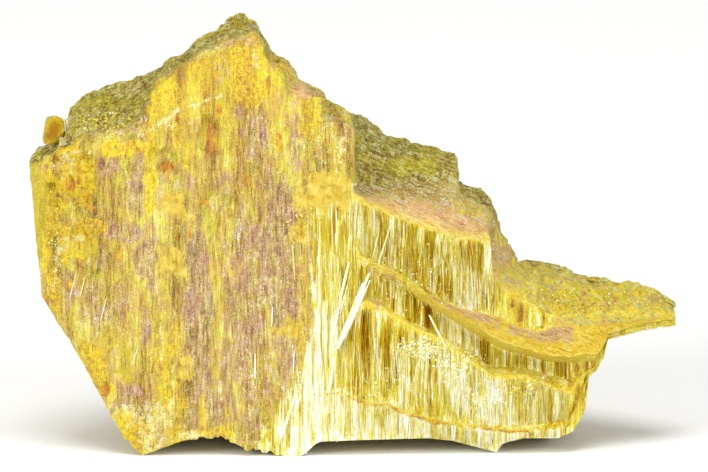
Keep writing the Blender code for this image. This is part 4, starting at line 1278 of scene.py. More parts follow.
BROKEN_MASK = make_broken_mask()
SILK_COLOUR = make_silk_colour()
print("groups:", ", ".join(group.name for group in bpy.data.node_groups))

# %% [markdown]
# ## Patterns on the stone
# The stone's material is built in five steps on one tree. First come its patterns: streaks and
# hairs along the fibres, streaks turned to run along the ledges and over the crust, grain,
# clumps and folds. A picture would stretch on the sides, so all of them are noise at its real
# width in millimetres. The flecks break up the edges of patches.

# %% Patterns on the stone
stone_look, tree, shader = start_material("orpiment_stone")
where = face_millimetres(tree)
streaks = use_group(tree, STREAKS, Vector=where, Width=0.95, Length=6.0).outputs
hairs = use_group(tree, STREAKS, Vector=where, Width=0.24, Length=2.2).outputs
blotches = use_group(tree, STREAKS, Vector=where, Width=2.0, Length=3.6).outputs
ledge_streaks = use_group(tree, STREAKS, Vector=turn_pattern(tree, where, LEDGE_TURN),
                          Width=0.30, Length=2.6).outputs
crust_streaks = use_group(tree, STREAKS, Vector=turn_pattern(tree, where, CRUST_TURN),
                          Width=0.32, Length=1.5).outputs
grain = use_group(tree, GRAIN, Vector=where, Size=0.13).outputs
clumps = use_group(tree, CLUMPS, Vector=where, Size=0.7).outputs
folds = use_group(tree, CLUMPS, Vector=where, Size=1.5).outputs
flecks = weighted(tree, [(streaks["Middle"], 0.26), (grain["Speckle"], 0.36),
                         (grain["Mottle"], 0.38)])
face_value = weighted(tree, [(streaks["Broad"], 0.36), (hairs["Middle"], 0.26),
                             (grain["Speckle"], 0.24), (hairs["Fine"], 0.14)])
grit_value = weighted(tree, [(hairs["Middle"], 0.34), (grain["Speckle"], 0.46),
                             (grain["Mottle"], 0.20)])
print("pattern nodes:", len(tree.nodes))

# %% [markdown]
# ## Colours of the face
# The plain face is fibre tan, richer towards the top. Lilac sheen, painted into the colour, lies
# on it, a tint moves some patches to mauve and others to lemon, gold and green are crushed
# leaves, brown specks are dirt, and dark streaks in the grooves of the hair bump are painted
# shade. Each is a layer over the ones before it, so one can be changed and the rest stay.

# %% Colours of the face
colour = ramp(tree, remap(tree, face_value, 0.25, 0.76), FACE_STOPS)
rich = math_node(tree, "MULTIPLY", read_mask(tree, "rich"), RICH_COVER)
colour = mix_colour(tree, rich, colour, ramp(tree, remap(tree, face_value, 0.15, 0.85), GOLD_STOPS))
# Painted sheen: the lilac shine of flat leaves, laid on as colour
lilac_sheen = ramp(tree, remap(tree, grit_value, 0.24, 0.78), LILAC_SHEEN_STOPS)
colour = mix_colour(tree, broken_mask(tree, "lilac_sheen", flecks), colour, lilac_sheen)
tint_value = weighted(tree, [(blotches["Middle"], 0.55), (blotches["Fine"], 0.30),
                             (streaks["Fine"], 0.15)])
tint = ramp(tree, remap(tree, tint_value, 0.22, 0.78), TINT_STOPS)
colour = mix_colour(tree, 1.0, colour, tint, "MULTIPLY")
gold_value = weighted(tree, [(face_value, 0.6), (folds["Grit"], 0.4)])
gold = ramp(tree, remap(tree, gold_value, 0.2, 0.75), GOLD_STOPS)
colour = mix_colour(tree, broken_mask(tree, "gold", flecks), colour, gold)
green = ramp(tree, grit_value, GREEN_STOPS)
colour = mix_colour(tree, broken_mask(tree, "green", flecks), colour, green)
# Brown specks are dirt; the dark streaks sit in the grooves of the hair bump and are painted shade
dirt_and_groove_shade = math_node(tree, "MULTIPLY", remap(tree, grain["Speckle"], 0.0, 0.25, 0.9, 0.0),
                 remap(tree, blotches["Fine"], 0.30, 0.70))
groove_shade = math_node(tree, "MULTIPLY", remap(tree, hairs["Middle"], 0.02, 0.24, 0.75, 0.0),
                        remap(tree, streaks["Fine"], 0.45, 0.80))
dirt_and_groove_shade = math_node(tree, "MAXIMUM", dirt_and_groove_shade, groove_shade, clamp=True)
colour = mix_colour(tree, dirt_and_groove_shade, colour, SPECK_BROWN)
print("and the face:", len(tree.nodes))

# %% [markdown]
# ## Colours of the steps
# The open fibres take their colour from the tone. The wedge and the ledges have yellows of
# their own, streaked the way they run. Pink, pale and amber patches lie over all of these; the
# pale ones are torn fibres and, in part, painted glints.

# %% Colours of the steps
silk = use_group(tree, SILK_COLOUR, Vector=where, Tone=read_mask(tree, "tone"), Contrast=2.0)
colour = mix_colour(tree, broken_mask(tree, "silk", flecks), colour, silk.outputs["Color"])
wing_value = weighted(tree, [(grit_value, 0.55), (ledge_streaks["Middle"], 0.45)])
wing_tan = remap(tree, blotches["Fine"], 0.55, 0.80, 0.0, 0.7)
wing_colour = mix_colour(tree, wing_tan, ramp(tree, wing_value, WING_STOPS), WING_TAN)
colour = mix_colour(tree, read_mask(tree, "wing"), colour, wing_colour)
tread_value = weighted(tree, [(ledge_streaks["Middle"], 0.36), (ledge_streaks["Fine"], 0.24),
                              (grain["Speckle"], 0.26), (grain["Mottle"], 0.14)])
tread_value = remap(tree, tread_value, 0.2, 0.8)
colour = mix_colour(tree, read_mask(tree, "tread"), colour, ramp(tree, tread_value, TREAD_STOPS))
pink = ramp(tree, tread_value, PINK_STOPS)
colour = mix_colour(tree, broken_mask(tree, "pink", flecks), colour, pink)
# Pale: nearly white torn fibres and, partly, painted glints
pale_and_glint = ramp(tree, remap(tree, grit_value, 0.0, 0.8, 0.62, 1.0), SILK_STOPS)
pale_and_glint_cover = math_node(tree, "MULTIPLY", broken_mask(tree, "pale_and_glint", flecks), PALE_AND_GLINT_COVER)
colour = mix_colour(tree, pale_and_glint_cover, colour, pale_and_glint)
amber_value = weighted(tree, [(blotches["Fine"], 0.5), (grit_value, 0.5)])
amber = ramp(tree, remap(tree, amber_value, 0.2, 0.8), AMBER_STOPS)
colour = mix_colour(tree, broken_mask(tree, "amber", flecks), colour, amber)
print("and the steps:", len(tree.nodes))

# %% [markdown]
# ## Crust, crests and powder
# The crust is grit and streaks, here greyer and there olive yellow, and tan on the slope. Over
# it go the bright lines of the crests and the powder, and single grains get painted glints:
# white flecks in the colour, where grains would catch the light. At the end the whole is made a
# little richer and darker.

# %% Crust, crests and powder
crust_run = mix_value(tree, read_mask(tree, "left"), ledge_streaks["Middle"], crust_streaks["Middle"])
crust_value = weighted(tree, [(clumps["Grit"], 0.34), (grain["Speckle"], 0.26), (crust_run, 0.40)])
crust_value = remap(tree, crust_value, 0.33, 0.68)
crust_colour = ramp(tree, crust_value, CRUST_STOPS)
grey_part = remap(tree, blotches["Fine"], 0.45, 0.70, 0.0, 0.7)
crust_colour = mix_colour(tree, grey_part, crust_colour, CRUST_GREY, "MULTIPLY")
yellow_part = math_node(tree, "MAXIMUM", broken_mask(tree, "olive", crust_value),
                        remap(tree, grain["Mottle"], 0.50, 0.70, 0.0, 0.55), clamp=True)
yellow = mix_colour(tree, 0.55, crust_colour, CRUST_YELLOW)
crust_colour = mix_colour(tree, yellow_part, crust_colour, yellow)
slope_colour = ramp(tree, crust_value, SLOPE_STOPS)
crust_colour = mix_colour(tree, read_mask(tree, "speckled"), crust_colour, slope_colour)
crust_cover = broken_mask(tree, "crust", crust_value)
colour = mix_colour(tree, crust_cover, colour, crust_colour)
crest_value = weighted(tree, [(ledge_streaks["Middle"], 0.4), (ledge_streaks["Fine"], 0.2),
                              (grain["Speckle"], 0.4)])
crest = ramp(tree, remap(tree, crest_value, 0.2, 0.8), CREST_STOPS)
colour = mix_colour(tree, read_mask(tree, "crest"), colour, crest)
powder_value = weighted(tree, [(grain["Mottle"], 0.6), (grit_value, 0.4)])
powder_cover = broken_mask(tree, "powder", flecks)
colour = mix_colour(tree, powder_cover, colour, ramp(tree, powder_value, POWDER_STOPS))
# Painted glints: white flecks in the colour where single grains would catch the light
painted_glint = remap(tree, grain["Speckle"], 0.86, 1.0, 0.0, 0.7)
painted_glint = math_node(tree, "MULTIPLY", painted_glint, remap(tree, crust_cover, 0.0, 1.0, 1.0, 0.8))
colour = mix_colour(tree, painted_glint, colour, PAINTED_GLINT_COLOUR)
rich_colour = add_node(tree, "ShaderNodeHueSaturation", None, Saturation=RICHNESS,
                       Value=BRIGHTNESS, Color=colour)
tree.links.new(rich_colour.outputs["Color"], shader.inputs["Base Color"])
print("and the crust:", len(tree.nodes))

# %% [markdown]
# ## Gloss and bump
# Hairs shine, crumpled patches shine like foil, and crust and powder are dull. Four bumps, one
# on the other, follow the same patterns: fibres, crust, folds, and the grooves of the ledges.
# As real relief they would take millions of faces.

# %% Gloss and bump
dull = math_node(tree, "MAXIMUM", crust_cover, powder_cover, clamp=True)
foil = read_mask(tree, "crumple")
roughness = mix_value(tree, foil, remap(tree, hairs["Middle"], 0.0, 1.0, 0.32, 0.55), FOIL_ROUGH)
tree.links.new(mix_value(tree, dull, roughness, DULL_ROUGH), shader.inputs["Roughness"])
shader.inputs["IOR"].default_value = ORPIMENT_INDEX
shader.inputs["Specular IOR Level"].default_value = SKIN_GLOSS
crust_height = math_node(tree, "MULTIPLY", clumps["Height"], crust_cover)
fold_height = math_node(tree, "MULTIPLY", folds["Height"], foil)
tread_height = math_node(tree, "MULTIPLY", ledge_streaks["Height"], read_mask(tree, "tread"))
bumped = bump(tree, 0.8, 0.08, hairs["Height"])
bumped = bump(tree, 1.0, 0.22, crust_height, bumped)
bumped = bump(tree, 1.0, 0.12, fold_height, bumped)
bumped = bump(tree, 0.9, 0.12, tread_height, bumped)
tree.links.new(bumped, shader.inputs["Normal"])
stone.data.materials.append(stone_look)
print("stone material has", len(tree.nodes), "nodes")

# %% [markdown]
# ## Loose fibres
# At the steps the fibres stand free, and each catches the light on its own. Hair could grow
# there, but it is round, and these fibres are slivers with flat sides. So each is a lath: a
# thin three-sided prism, tapered at both ends. It is placed by row and column of the grid and
# follows the rows, so it bends with the surface. Thousands are one array, and so one mesh.

# %% Reading the skin between its points
rest_normals = grid_normals(bare)
column_step = x_columns[1] - x_columns[0]


def sample(grid, row, column):
    """Read a grid between its points: the four nearest, weighted by how near they are."""
    row = np.clip(row, 0.0, len(grid) - 1.001)
    column = np.clip(column, 0.0, grid.shape[1] - 1.001)
    low_row = row.astype(int)
    low_column = column.astype(int)
    up = (row - low_row).reshape(row.shape + (1,) * (grid.ndim - 2))
    over = (column - low_column).reshape(row.shape + (1,) * (grid.ndim - 2))
    near = grid[low_row, low_column] * (1 - up) + grid[low_row + 1, low_column] * up
    far = grid[low_row, low_column + 1] * (1 - up) + grid[low_row + 1, low_column + 1] * up
    return near * (1 - over) + far * over


def row_of(column, rise):
    """Row of the front at a given rise: whole rows below it, plus the share of the next."""
    index = np.clip(np.round(column).astype(int), 0, COLUMNS - 1)
    levels = bare[:FRONT_ROWS, index, 1]
    below = np.clip((levels < rise).sum(axis=0), 1, FRONT_ROWS - 1)
    reach = np.arange(len(index))
    low = levels[below - 1, reach]
    high = levels[below, reach]
    return below - 1 + np.clip((rise - low) / np.maximum(high - low, 1e-6), 0.0, 1.0)


def on_skin(rows, columns):
    """Places on the skin and the directions out of it there."""
    return sample(skin, rows, columns), sample(rest_normals, rows, columns)


print("a column is", round(column_step, 3), "mm wide")

# %% Shape of a lath
LATH_POINTS = 6
ROOT_DEPTH = 0.05
random = np.random.default_rng(11)


def lath_points(place, out, width, height, lean, blunt):
    """Corners of the laths: two just under the surface at half a width, one out of it.

    Both shrink to the ends as a sine to the power blunt: the smaller, the blunter.
    """
    share = np.linspace(0.0, 1.0, LATH_POINTS)[None, :]
    taper = np.sin(math.pi * (0.06 + 0.88 * share)) ** blunt
    half = (width[:, None] * taper / 2.0)[..., None]
    tall = (height[:, None] * taper)[..., None]
    side = np.array([1.0, 0.0, 0.0])
    top = place + out * tall + side * half * lean[:, None, None]
    root = place - out * ROOT_DEPTH
    return np.stack([root - side * half, root + side * half, top], axis=2)


def prism_faces(count, points):
    """Corner numbers of three-sided prisms with both ends closed."""
    start = np.arange(count)[:, None, None] * points * 3
    ring = np.arange(points - 1)[None, :, None] * 3
    corner = np.arange(3)[None, None, :]
    after = (corner + 1) % 3
    quads = np.stack([start + ring + 3 + corner, start + ring + 3 + after,
                      start + ring + after, start + ring + corner], axis=-1).reshape(-1, 4)
    first = np.arange(count)[:, None] * points * 3
    bottom = first + np.array([[0, 1, 2]])
    lid = first + (points - 1) * 3 + np.array([[2, 1, 0]])
    return quads.tolist() + bottom.tolist() + lid.tolist()


def place_laths(name, place, out, width, height, tone_level, mauve_sheen, material, blunt=0.5):
    """Build one mesh of laths and store the tone and the share of painted lilac sheen of each."""
    count = len(place)
    lean = random.uniform(-0.8, 0.8, count)
    points = to_world(lath_points(place, out, width, height, lean, blunt))
    thing = build_mesh(name, points.reshape(-1, 3), prism_faces(count, LATH_POINTS))
    write_mask(thing, "tone", np.repeat(tone_level, LATH_POINTS * 3))
    write_mask(thing, "mauve_sheen", np.repeat(mauve_sheen, LATH_POINTS * 3))
    thing.data.materials.append(material)
    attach(thing, BODY)


print("faces of a lath:", len(prism_faces(1, LATH_POINTS)))

# %% Finish of a fibre
def lath_material():
    """Glossy fibre: the colour of open fibres, or the painted lilac sheen of the face where it is
    lilac.
    """
    material, tree, shader = start_material("orpiment_fibre")
    where = face_millimetres(tree)
    grain = use_group(tree, GRAIN, Vector=where, Size=0.16).outputs
    silk = use_group(tree, SILK_COLOUR, Vector=where, Tone=read_mask(tree, "tone"),
                     Contrast=0.8).outputs
    sheen = ramp(tree, silk["Value"], LILAC_SHEEN_STOPS)
    colour = mix_colour(tree, read_mask(tree, "mauve_sheen"), silk["Color"], sheen)
    tree.links.new(colour, shader.inputs["Base Color"])
    tree.links.new(remap(tree, grain["Speckle"], 0.0, 1.0, 0.22, 0.42), shader.inputs["Roughness"])
    shader.inputs["IOR"].default_value = ORPIMENT_INDEX
    shader.inputs["Specular IOR Level"].default_value = FIBRE_GLOSS
    tree.links.new(bump(tree, 0.5, 0.03, grain["Speckle"]), shader.inputs["Normal"])
    return material


FIBRE = lath_material()
print("fibre material has", len(FIBRE.node_tree.nodes), "nodes")

# %% Laths of the curtains
CURTAIN_LATHS = {"first foot": 1900, "second foot": 1100, "third foot": 2000, "lower edge": 700}
LATH_TOP = 0.93
LATH_LENGTH = (1.2, 6.0)
LATH_WIDTH = (0.07, 0.24)
LATH_HEIGHT = (0.05, 0.20)
LATH_DRIFT = 0.05
# How much lighter than the stone under it a lath is: mean and spread
LATH_TONE = (0.06, 0.24)
share = np.linspace(0.0, 1.0, LATH_POINTS)[None, :]
curtain_rows, curtain_columns = [], []
for name, count in CURTAIN_LATHS.items():
    start_row = first_row(name)
    span = GUIDE_ROWS[GUIDE_NAMES.index(name)]
    left, right = (-1.5, 26.0) if name != "first foot" else (-0.2, 17.0)
    column = (random.uniform(left, right, count) - LEFT_END) / column_step
    whole = column.astype(int)
    tall = bare[start_row + span, whole, 1] - bare[start_row, whole, 1]
    portion = np.clip(random.uniform(*LATH_LENGTH, count) / np.maximum(tall, 0.4), 0.15, 0.95)
    low = start_row + span * random.uniform(0.0, LATH_TOP, count) * (1.0 - portion)
    curtain_rows.append(low[:, None] + span * portion[:, None] * share)
    drift = random.normal(0.0, LATH_DRIFT, count) * tall * portion / column_step
    curtain_columns.append(column[:, None] + drift[:, None] * share)
rows = np.concatenate(curtain_rows)
columns = np.concatenate(curtain_columns)
count = len(rows)
middle_tone = sample(masks["tone"], rows[:, 3], columns[:, 3])
place_laths("curtain_laths", *on_skin(rows, columns), random.uniform(*LATH_WIDTH, count),
            random.uniform(*LATH_HEIGHT, count),
            np.clip(middle_tone + random.normal(*LATH_TONE, count), 0.0, 1.0),
            np.zeros(count), FIBRE)
print("curtain laths:", count)

# %% [markdown]
# ## Laths of the face
# Beside the steps the torn strip of the face bristles with fibres too, and a few lie on the
# lilac face. They are the same laths, placed by x and rise, because here no crest or foot says
# where a fibre ends. In the strip they take the tone, and on the face the lilac colour, which
# is painted sheen.

# %% Laths of the face
SILK_LATHS = 1200
FACE_LATHS = 430
FACE_FROM = -22.5
# Ranges for the laths of the torn strip, and for those of the lilac face
STRIP = {"rise": (2.0, 28.0), "length": (1.2, 6.5), "width": (0.08, 0.26), "height": (0.04, 0.16)}
FACE = {"rise": (3.0, 27.0), "length": (0.8, 3.2), "width": (0.06, 0.14), "height": (0.02, 0.06)}
count = SILK_LATHS + FACE_LATHS
is_silk = np.arange(count) < SILK_LATHS


def draw(measure):
    """A random number for each lath, from the range of the strip or from that of the face."""
    return np.where(is_silk, random.uniform(*STRIP[measure], count),
                    random.uniform(*FACE[measure], count))


rise = draw("rise")
edge = read_line(SILK_EDGE, rise)
spread = random.uniform(0.0, 1.0, count)
x_place = np.where(is_silk, edge + 0.3 + spread * (0.7 - edge),
                   FACE_FROM + spread * (edge - 0.3 - FACE_FROM))
column = (x_place - LEFT_END) / column_step
length = draw("length")
foot = np.maximum(row_of(column, rise - length / 2.0), 1.5)
head = np.maximum(row_of(column, rise + length / 2.0), foot + 0.5)
rows = foot[:, None] + (head - foot)[:, None] * share
drift = random.normal(0.0, 0.03, count) * length / column_step
columns = column[:, None] + drift[:, None] * share
lilac_sheen_here = sample(masks["lilac_sheen"], rows[:, 3], columns[:, 3])
tone_here = sample(masks["tone"], rows[:, 3], columns[:, 3])
tone_level = np.where(is_silk, tone_here + random.normal(0.05, 0.22, count),
                      random.normal(0.52, 0.2, count))
width = draw("width")
height_out = draw("height")
mauve_sheen = np.where(is_silk, 0.0, np.clip(0.45 + lilac_sheen_here * 0.8, 0.0, 1.0))
place_laths("face_laths", *on_skin(rows, columns), width, height_out,
            np.clip(tone_level, 0.0, 1.0), mauve_sheen, FIBRE)
print("face laths:", count)

# %% [markdown]
# ## White blades
# A few broad blades lie across the fibres, torn loose and so nearly white; their white also
# stands in part for painted glints. Each is drawn by its two ends, width, height and tone. It
# lies straight, just clear of the highest fibres under it.

# %% Blades
BLADES = [
    (-0.4, 23.4, -1.6, 18.4, 0.36, 0.12, 0.95), (2.0, 22.0, -1.8, 13.0, 0.50, 0.16, 0.97),
    (-0.1, 22.4, -1.5, 17.2, 0.18, 0.10, 0.90), (2.1, 21.2, -0.9, 14.2, 0.24, 0.12, 0.92),
    (1.2, 20.9, -2.1, 12.8, 0.28, 0.14, 0.94), (1.7, 20.4, -1.4, 13.6, 0.30, 0.18, 1.0),
    (-1.6, 18.0, -2.6, 13.5, 0.30, 0.12, 0.92), (9.2, 17.0, 11.2, 13.2, 0.30, 0.12, 0.9),
    (4.7, 28.3, 2.9, 22.6, 0.20, 0.12, 0.90), (3.3, 27.6, 2.3, 23.4, 0.16, 0.10, 0.84),
    (-29.5, 19.1, -30.3, 16.2, 0.14, 0.10, 0.92), (-25.7, 13.3, -26.5, 10.8, 0.14, 0.10, 0.92),
    (-33.6, 22.4, -34.8, 19.0, 0.14, 0.10, 0.90), (-32.4, 21.8, -33.3, 19.2, 0.12, 0.08, 0.88),
    (-7.0, 7.0, -8.6, 2.2, 0.42, 0.12, 0.95), (-9.6, 18.0, -9.7, 15.6, 0.18, 0.08, 0.95),
    (-7.2, 25.4, -6.9, 21.1, 0.16, 0.08, 0.90), (-7.0, 12.8, -7.1, 10.0, 0.18, 0.08, 0.93),
    (-11.7, 12.4, -11.7, 9.4, 0.18, 0.08, 0.93), (16.5, 25.6, 16.3, 22.0, 0.34, 0.12, 0.92),
    (-2.2, 12.0, -2.9, 7.0, 0.34, 0.12, 0.95), (-5.2, 12.0, -5.7, 7.5, 0.30, 0.12, 0.95),
]
BLADE_GAP = 0.08
BLADE_BLUNT = 0.28
blade_table = np.array(BLADES)
path = np.linspace(0.0, 1.0, LATH_POINTS)[None, :, None]
blade_ends = []
for which_end in (2, 0):
    column = (blade_table[:, which_end] - LEFT_END) / column_step
    blade_ends.append(sample(skin, row_of(column, blade_table[:, which_end + 1]), column))
blade_place = blade_ends[0][:, None] + (blade_ends[1] - blade_ends[0])[:, None] * path
columns = (blade_place[..., 0] - LEFT_END) / column_step
rows = row_of(columns.ravel(), blade_place[..., 1].ravel()).reshape(columns.shape)
sunk = blade_place[..., 2] - sample(skin, rows, columns)[..., 2]
blade_place[..., 2] -= BLADE_GAP + sunk.max(axis=1)[:, None]
blade_out = np.broadcast_to(np.array([0.0, 0.0, -1.0]), blade_place.shape)
place_laths("white_blades", blade_place, blade_out, blade_table[:, 4], blade_table[:, 5],
            blade_table[:, 6], np.zeros(len(BLADES)), FIBRE, BLADE_BLUNT)
print("blades:", len(BLADES))

# %% [markdown]
# ## Crumbs
# Where fibres snap they leave crumbs caught on the ledges. A crumb is a small icosahedron with
# each corner moved in or out by its own amount, then squashed and turned at random. One array
# holds them all.

# %% Shape of a crumb
# Each spot: middle x and rise, width, height, how many crumbs, their size and their tone
CRUMB_SPOTS = [
    (8.0, 13.0, 2.6, 1.2, 420, 0.16, 0.88), (11.5, 11.0, 2.0, 2.2, 240, 0.16, 0.85),
    (8.0, 21.0, 6.5, 4.5, 420, 0.13, 0.75), (4.0, 9.0, 5.0, 3.0, 260, 0.12, 0.7),
    (16.5, 6.8, 3.5, 1.5, 200, 0.16, 0.97), (14.5, 12.0, 2.0, 1.2, 160, 0.15, 0.8),
    (20.0, 8.4, 4.5, 1.2, 200, 0.16, 0.6), (-5.0, 6.0, 4.0, 4.0, 200, 0.12, 0.9),
    (-36.0, 25.0, 1.6, 6.0, 160, 0.15, 0.6), (-30.0, 40.5, 4.0, 1.5, 200, 0.18, 0.55),
    (28.0, 18.5, 7.0, 1.6, 260, 0.18, 0.5), (-6.0, 28.0, 2.5, 2.5, 160, 0.14, 0.6),
]


def icosahedron():
    """The 12 corners and 20 faces of a unit icosahedron, from the golden ratio."""
    golden = (1.0 + math.sqrt(5.0)) / 2.0
    corners = np.array([(-1, golden, 0), (1, golden, 0), (-1, -golden, 0), (1, -golden, 0),
                        (0, -1, golden), (0, 1, golden), (0, -1, -golden), (0, 1, -golden),
                        (golden, 0, -1), (golden, 0, 1), (-golden, 0, -1), (-golden, 0, 1)])
    faces = np.array([(0, 11, 5), (0, 5, 1), (0, 1, 7), (0, 7, 10), (0, 10, 11), (1, 5, 9),
                      (5, 11, 4), (11, 10, 2), (10, 7, 6), (7, 1, 8), (3, 9, 4), (3, 4, 2),
                      (3, 2, 6), (3, 6, 8), (3, 8, 9), (4, 9, 5), (2, 4, 11), (6, 2, 10),
                      (8, 6, 7), (9, 8, 1)])
    return corners / np.linalg.norm(corners[0]), faces


def random_turns(count):
    """Random rotation matrices from random unit quaternions."""
    quaternion = random.normal(size=(count, 4))
    w, x, y, z = (quaternion / np.linalg.norm(quaternion, axis=1, keepdims=True)).T
    return np.stack([
        np.stack([1 - 2 * (y * y + z * z), 2 * (x * y - w * z), 2 * (x * z + w * y)], axis=-1),
        np.stack([2 * (x * y + w * z), 1 - 2 * (x * x + z * z), 2 * (y * z - w * x)], axis=-1),
        np.stack([2 * (x * z - w * y), 2 * (y * z + w * x), 1 - 2 * (x * x + y * y)], axis=-1),
    ], axis=1)


print("faces of a crumb:", len(icosahedron()[1]))

# %% Crumbs on the surface
CRUMB_SPREAD = 0.5
CRUMB_CORNERS = (0.55, 1.15)
CRUMB_SQUASH = (0.35, 1.0)
CRUMB_SIZES = (0.5, 1.5)
CRUMB_LIFT = 0.4
CRUMB_TONE = 0.18
spots = np.array(CRUMB_SPOTS)
which = np.repeat(np.arange(len(spots)), spots[:, 4].astype(int))
count = len(which)
chosen = spots[which]
crumb_x = chosen[:, 0] + random.normal(0.0, CRUMB_SPREAD, count) * chosen[:, 2]
crumb_rise = chosen[:, 1] + random.normal(0.0, CRUMB_SPREAD, count) * chosen[:, 3]
columns = (crumb_x - LEFT_END) / column_step
rows = row_of(columns, crumb_rise)
ball, ball_faces = icosahedron()
shape = ball[None] * random.uniform(*CRUMB_CORNERS, (count, len(ball), 1))
shape = shape * random.uniform(*CRUMB_SQUASH, (count, 1, 3))
shape = np.einsum("nij,nkj->nki", random_turns(count), shape)
radius = chosen[:, 5] * random.uniform(*CRUMB_SIZES, count)
ground, out = on_skin(rows, columns)
middle = ground + out * (radius * CRUMB_LIFT)[:, None]
crumbs = middle[:, None, :] + shape * radius[:, None, None]
first_corner = len(ball) * np.arange(count)[:, None, None]
crumb_faces = (ball_faces[None, :, ::-1] + first_corner).reshape(-1, 3)
crumb_mesh = build_mesh("crumbs", to_world(crumbs).reshape(-1, 3), crumb_faces.tolist())
crumb_tone = np.clip(chosen[:, 6] + random.normal(0.0, CRUMB_TONE, count), 0.0, 1.0)
write_mask(crumb_mesh, "tone", np.repeat(crumb_tone, len(ball)))
write_mask(crumb_mesh, "mauve_sheen", np.zeros(count * len(ball)))
crumb_mesh.data.materials.append(FIBRE)
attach(crumb_mesh, BODY)
print("crumbs:", count)

# %% [markdown]
# ## The amber crystal
# One small clear crystal sits on the left shoulder. It is a rounded polyhedron: seen from its
# middle, the surface in each direction lies where the nearest plane is, and a high power mean
# rounds the edges. Plain transmission lets light through, and a mask that grows towards the
# outline makes the crystal pale at its rim and deep amber in its middle: painted light, for the
# way light comes through a thinner edge.

# %% Rounded polyhedra on a sphere grid
# Each plane: the way it faces, and how far it is from the middle
AMBER_PLANES = [
    ((1.0, 0.1, 0.1), 1.15), ((-1.0, 0.15, 0.0), 1.35), ((0.3, 0.9, 0.3), 1.45),
    ((-0.4, 0.8, -0.2), 1.65), ((0.1, -1.0, 0.1), 1.62), ((0.1, 0.2, -1.0), 1.15),
    ((0.0, -0.1, 1.0), 1.4), ((0.6, 0.5, -0.7), 1.3), ((-0.7, 0.4, -0.7), 1.45),
    ((-0.6, -0.6, 0.3), 1.6), ((0.7, -0.5, -0.3), 1.35),
]
AMBER_CENTRE = (-35.85, 39.35, 4.6)
CLEAR_PLANES = [
    ((0.9, 0.3, -0.2), 0.62), ((-0.9, 0.2, -0.2), 0.50), ((0.1, 1.0, -0.1), 0.85),
    ((0.0, -1.0, 0.0), 0.9), ((0.2, 0.1, -1.0), 0.35), ((-0.1, 0.1, 1.0), 0.35),
]
CLEAR_FLAKES = [
    ((-34.1, 39.9, 4.3), 1.0, 0.35), ((-11.9, 51.0, 3.6), 1.1, -0.2),
    ((-33.0, 40.6, 4.6), 0.7, 0.8), ((-35.0, 37.9, 2.6), 0.6, 0.2),
]
ROUNDING = 14.0
RINGS = 23
RING_POINTS = 40
CLEAR_INDEX = 1.55


def rounded_polyhedron(planes, centre, size=1.0, turn=0.0):
    """Points of a closed surface around a centre.

    In direction d the radius is (sum of (max(n.d, 0) / distance) ^ p) ^ (-1 / p).
    """
    polar = np.linspace(0.0, math.pi, RINGS + 2)[1:-1][:, None]
    around = np.linspace(0.0, 2.0 * math.pi, RING_POINTS, endpoint=False)[None, :]
    ring = np.stack([np.sin(polar) * np.cos(around), np.cos(polar) * np.ones_like(around),
                     np.sin(polar) * np.sin(around)], axis=-1).reshape(-1, 3)
    direction = np.concatenate([ring, [(0.0, 1.0, 0.0), (0.0, -1.0, 0.0)]])
    total = np.zeros(len(direction))
    for normal, distance in planes:
        unit = np.array(normal) / np.linalg.norm(normal)
        total += (np.maximum(direction @ unit, 0.0) / distance) ** ROUNDING
    shape = direction * (total ** (-1.0 / ROUNDING))[:, None] * size
    cosine, sine = math.cos(turn), math.sin(turn)
    turned = shape @ np.array([(cosine, sine, 0.0), (-sine, cosine, 0.0), (0.0, 0.0, 1.0)])
    return turned + np.array(centre)


def sphere_faces():
    """Corner numbers for the sphere grid: quads between rings and a fan at each pole."""
    number = np.arange(RINGS * RING_POINTS).reshape(RINGS, RING_POINTS)
    after = np.roll(number, -1, axis=1)
    quads = np.stack([number[1:], after[1:], after[:-1], number[:-1]], axis=-1).reshape(-1, 4)
    pole = np.full(RING_POINTS, number.size)
    top = np.stack([pole, number[0], after[0]], axis=-1)
    bottom = np.stack([pole + 1, after[-1], number[-1]], axis=-1)
    return quads.tolist() + top.tolist() + bottom.tolist()


print("faces of a clear piece:", len(sphere_faces()))

# %% Clear matter
def clear_material(name, middle_colour, rim_colour, clearness, roughness):
    """Clear matter, deep in colour in its middle and pale at its rim, by the rim mask. The pale rim is
    painted light, for light coming through a thinner edge.
    """
    material, tree, shader = start_material(name)
    where = face_millimetres(tree)
    grain = use_group(tree, GRAIN, Vector=where, Size=0.3).outputs
    depth = weighted(tree, [(read_mask(tree, "rim"), 0.50), (grain["Mottle"], 0.30),
                            (grain["Speckle"], 0.20)])
    rim = remap(tree, depth, 0.40, 0.80)
    tree.links.new(mix_colour(tree, rim, middle_colour, rim_colour), shader.inputs["Base Color"])
    shader.inputs["Transmission Weight"].default_value = clearness
    shader.inputs["IOR"].default_value = CLEAR_INDEX
    tree.links.new(remap(tree, grain["Speckle"], 0.0, 1.0, roughness, roughness + 0.12),
                   shader.inputs["Roughness"])
    tree.links.new(bump(tree, 0.7, 0.1, grain["Mottle"]), shader.inputs["Normal"])
    return material


AMBER_CLEAR = clear_material("amber_clear", srgb(176, 124, 0), srgb(232, 210, 20), 0.40, 0.08)
PALE_CLEAR = clear_material("pale_clear", srgb(240, 226, 150), srgb(252, 246, 214), 0.7, 0.03)
print("clear materials:", AMBER_CLEAR.name, "and", PALE_CLEAR.name)

# %% Crystal and flakes
def add_clear_piece(name, points, material):
    """Put one clear piece on the stone."""
    thing = build_mesh(name, to_world(points), sphere_faces())
    offset = points[:, :2] - points[:, :2].mean(axis=0)
    rim = np.linalg.norm(offset / np.abs(offset).max(axis=0), axis=1)
    write_mask(thing, "rim", np.clip(rim, 0.0, 1.0))
    thing.data.shade_smooth()
    thing.data.set_sharp_from_angle(angle=math.radians(30.0))
    thing.data.materials.append(material)
    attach(thing, BODY)


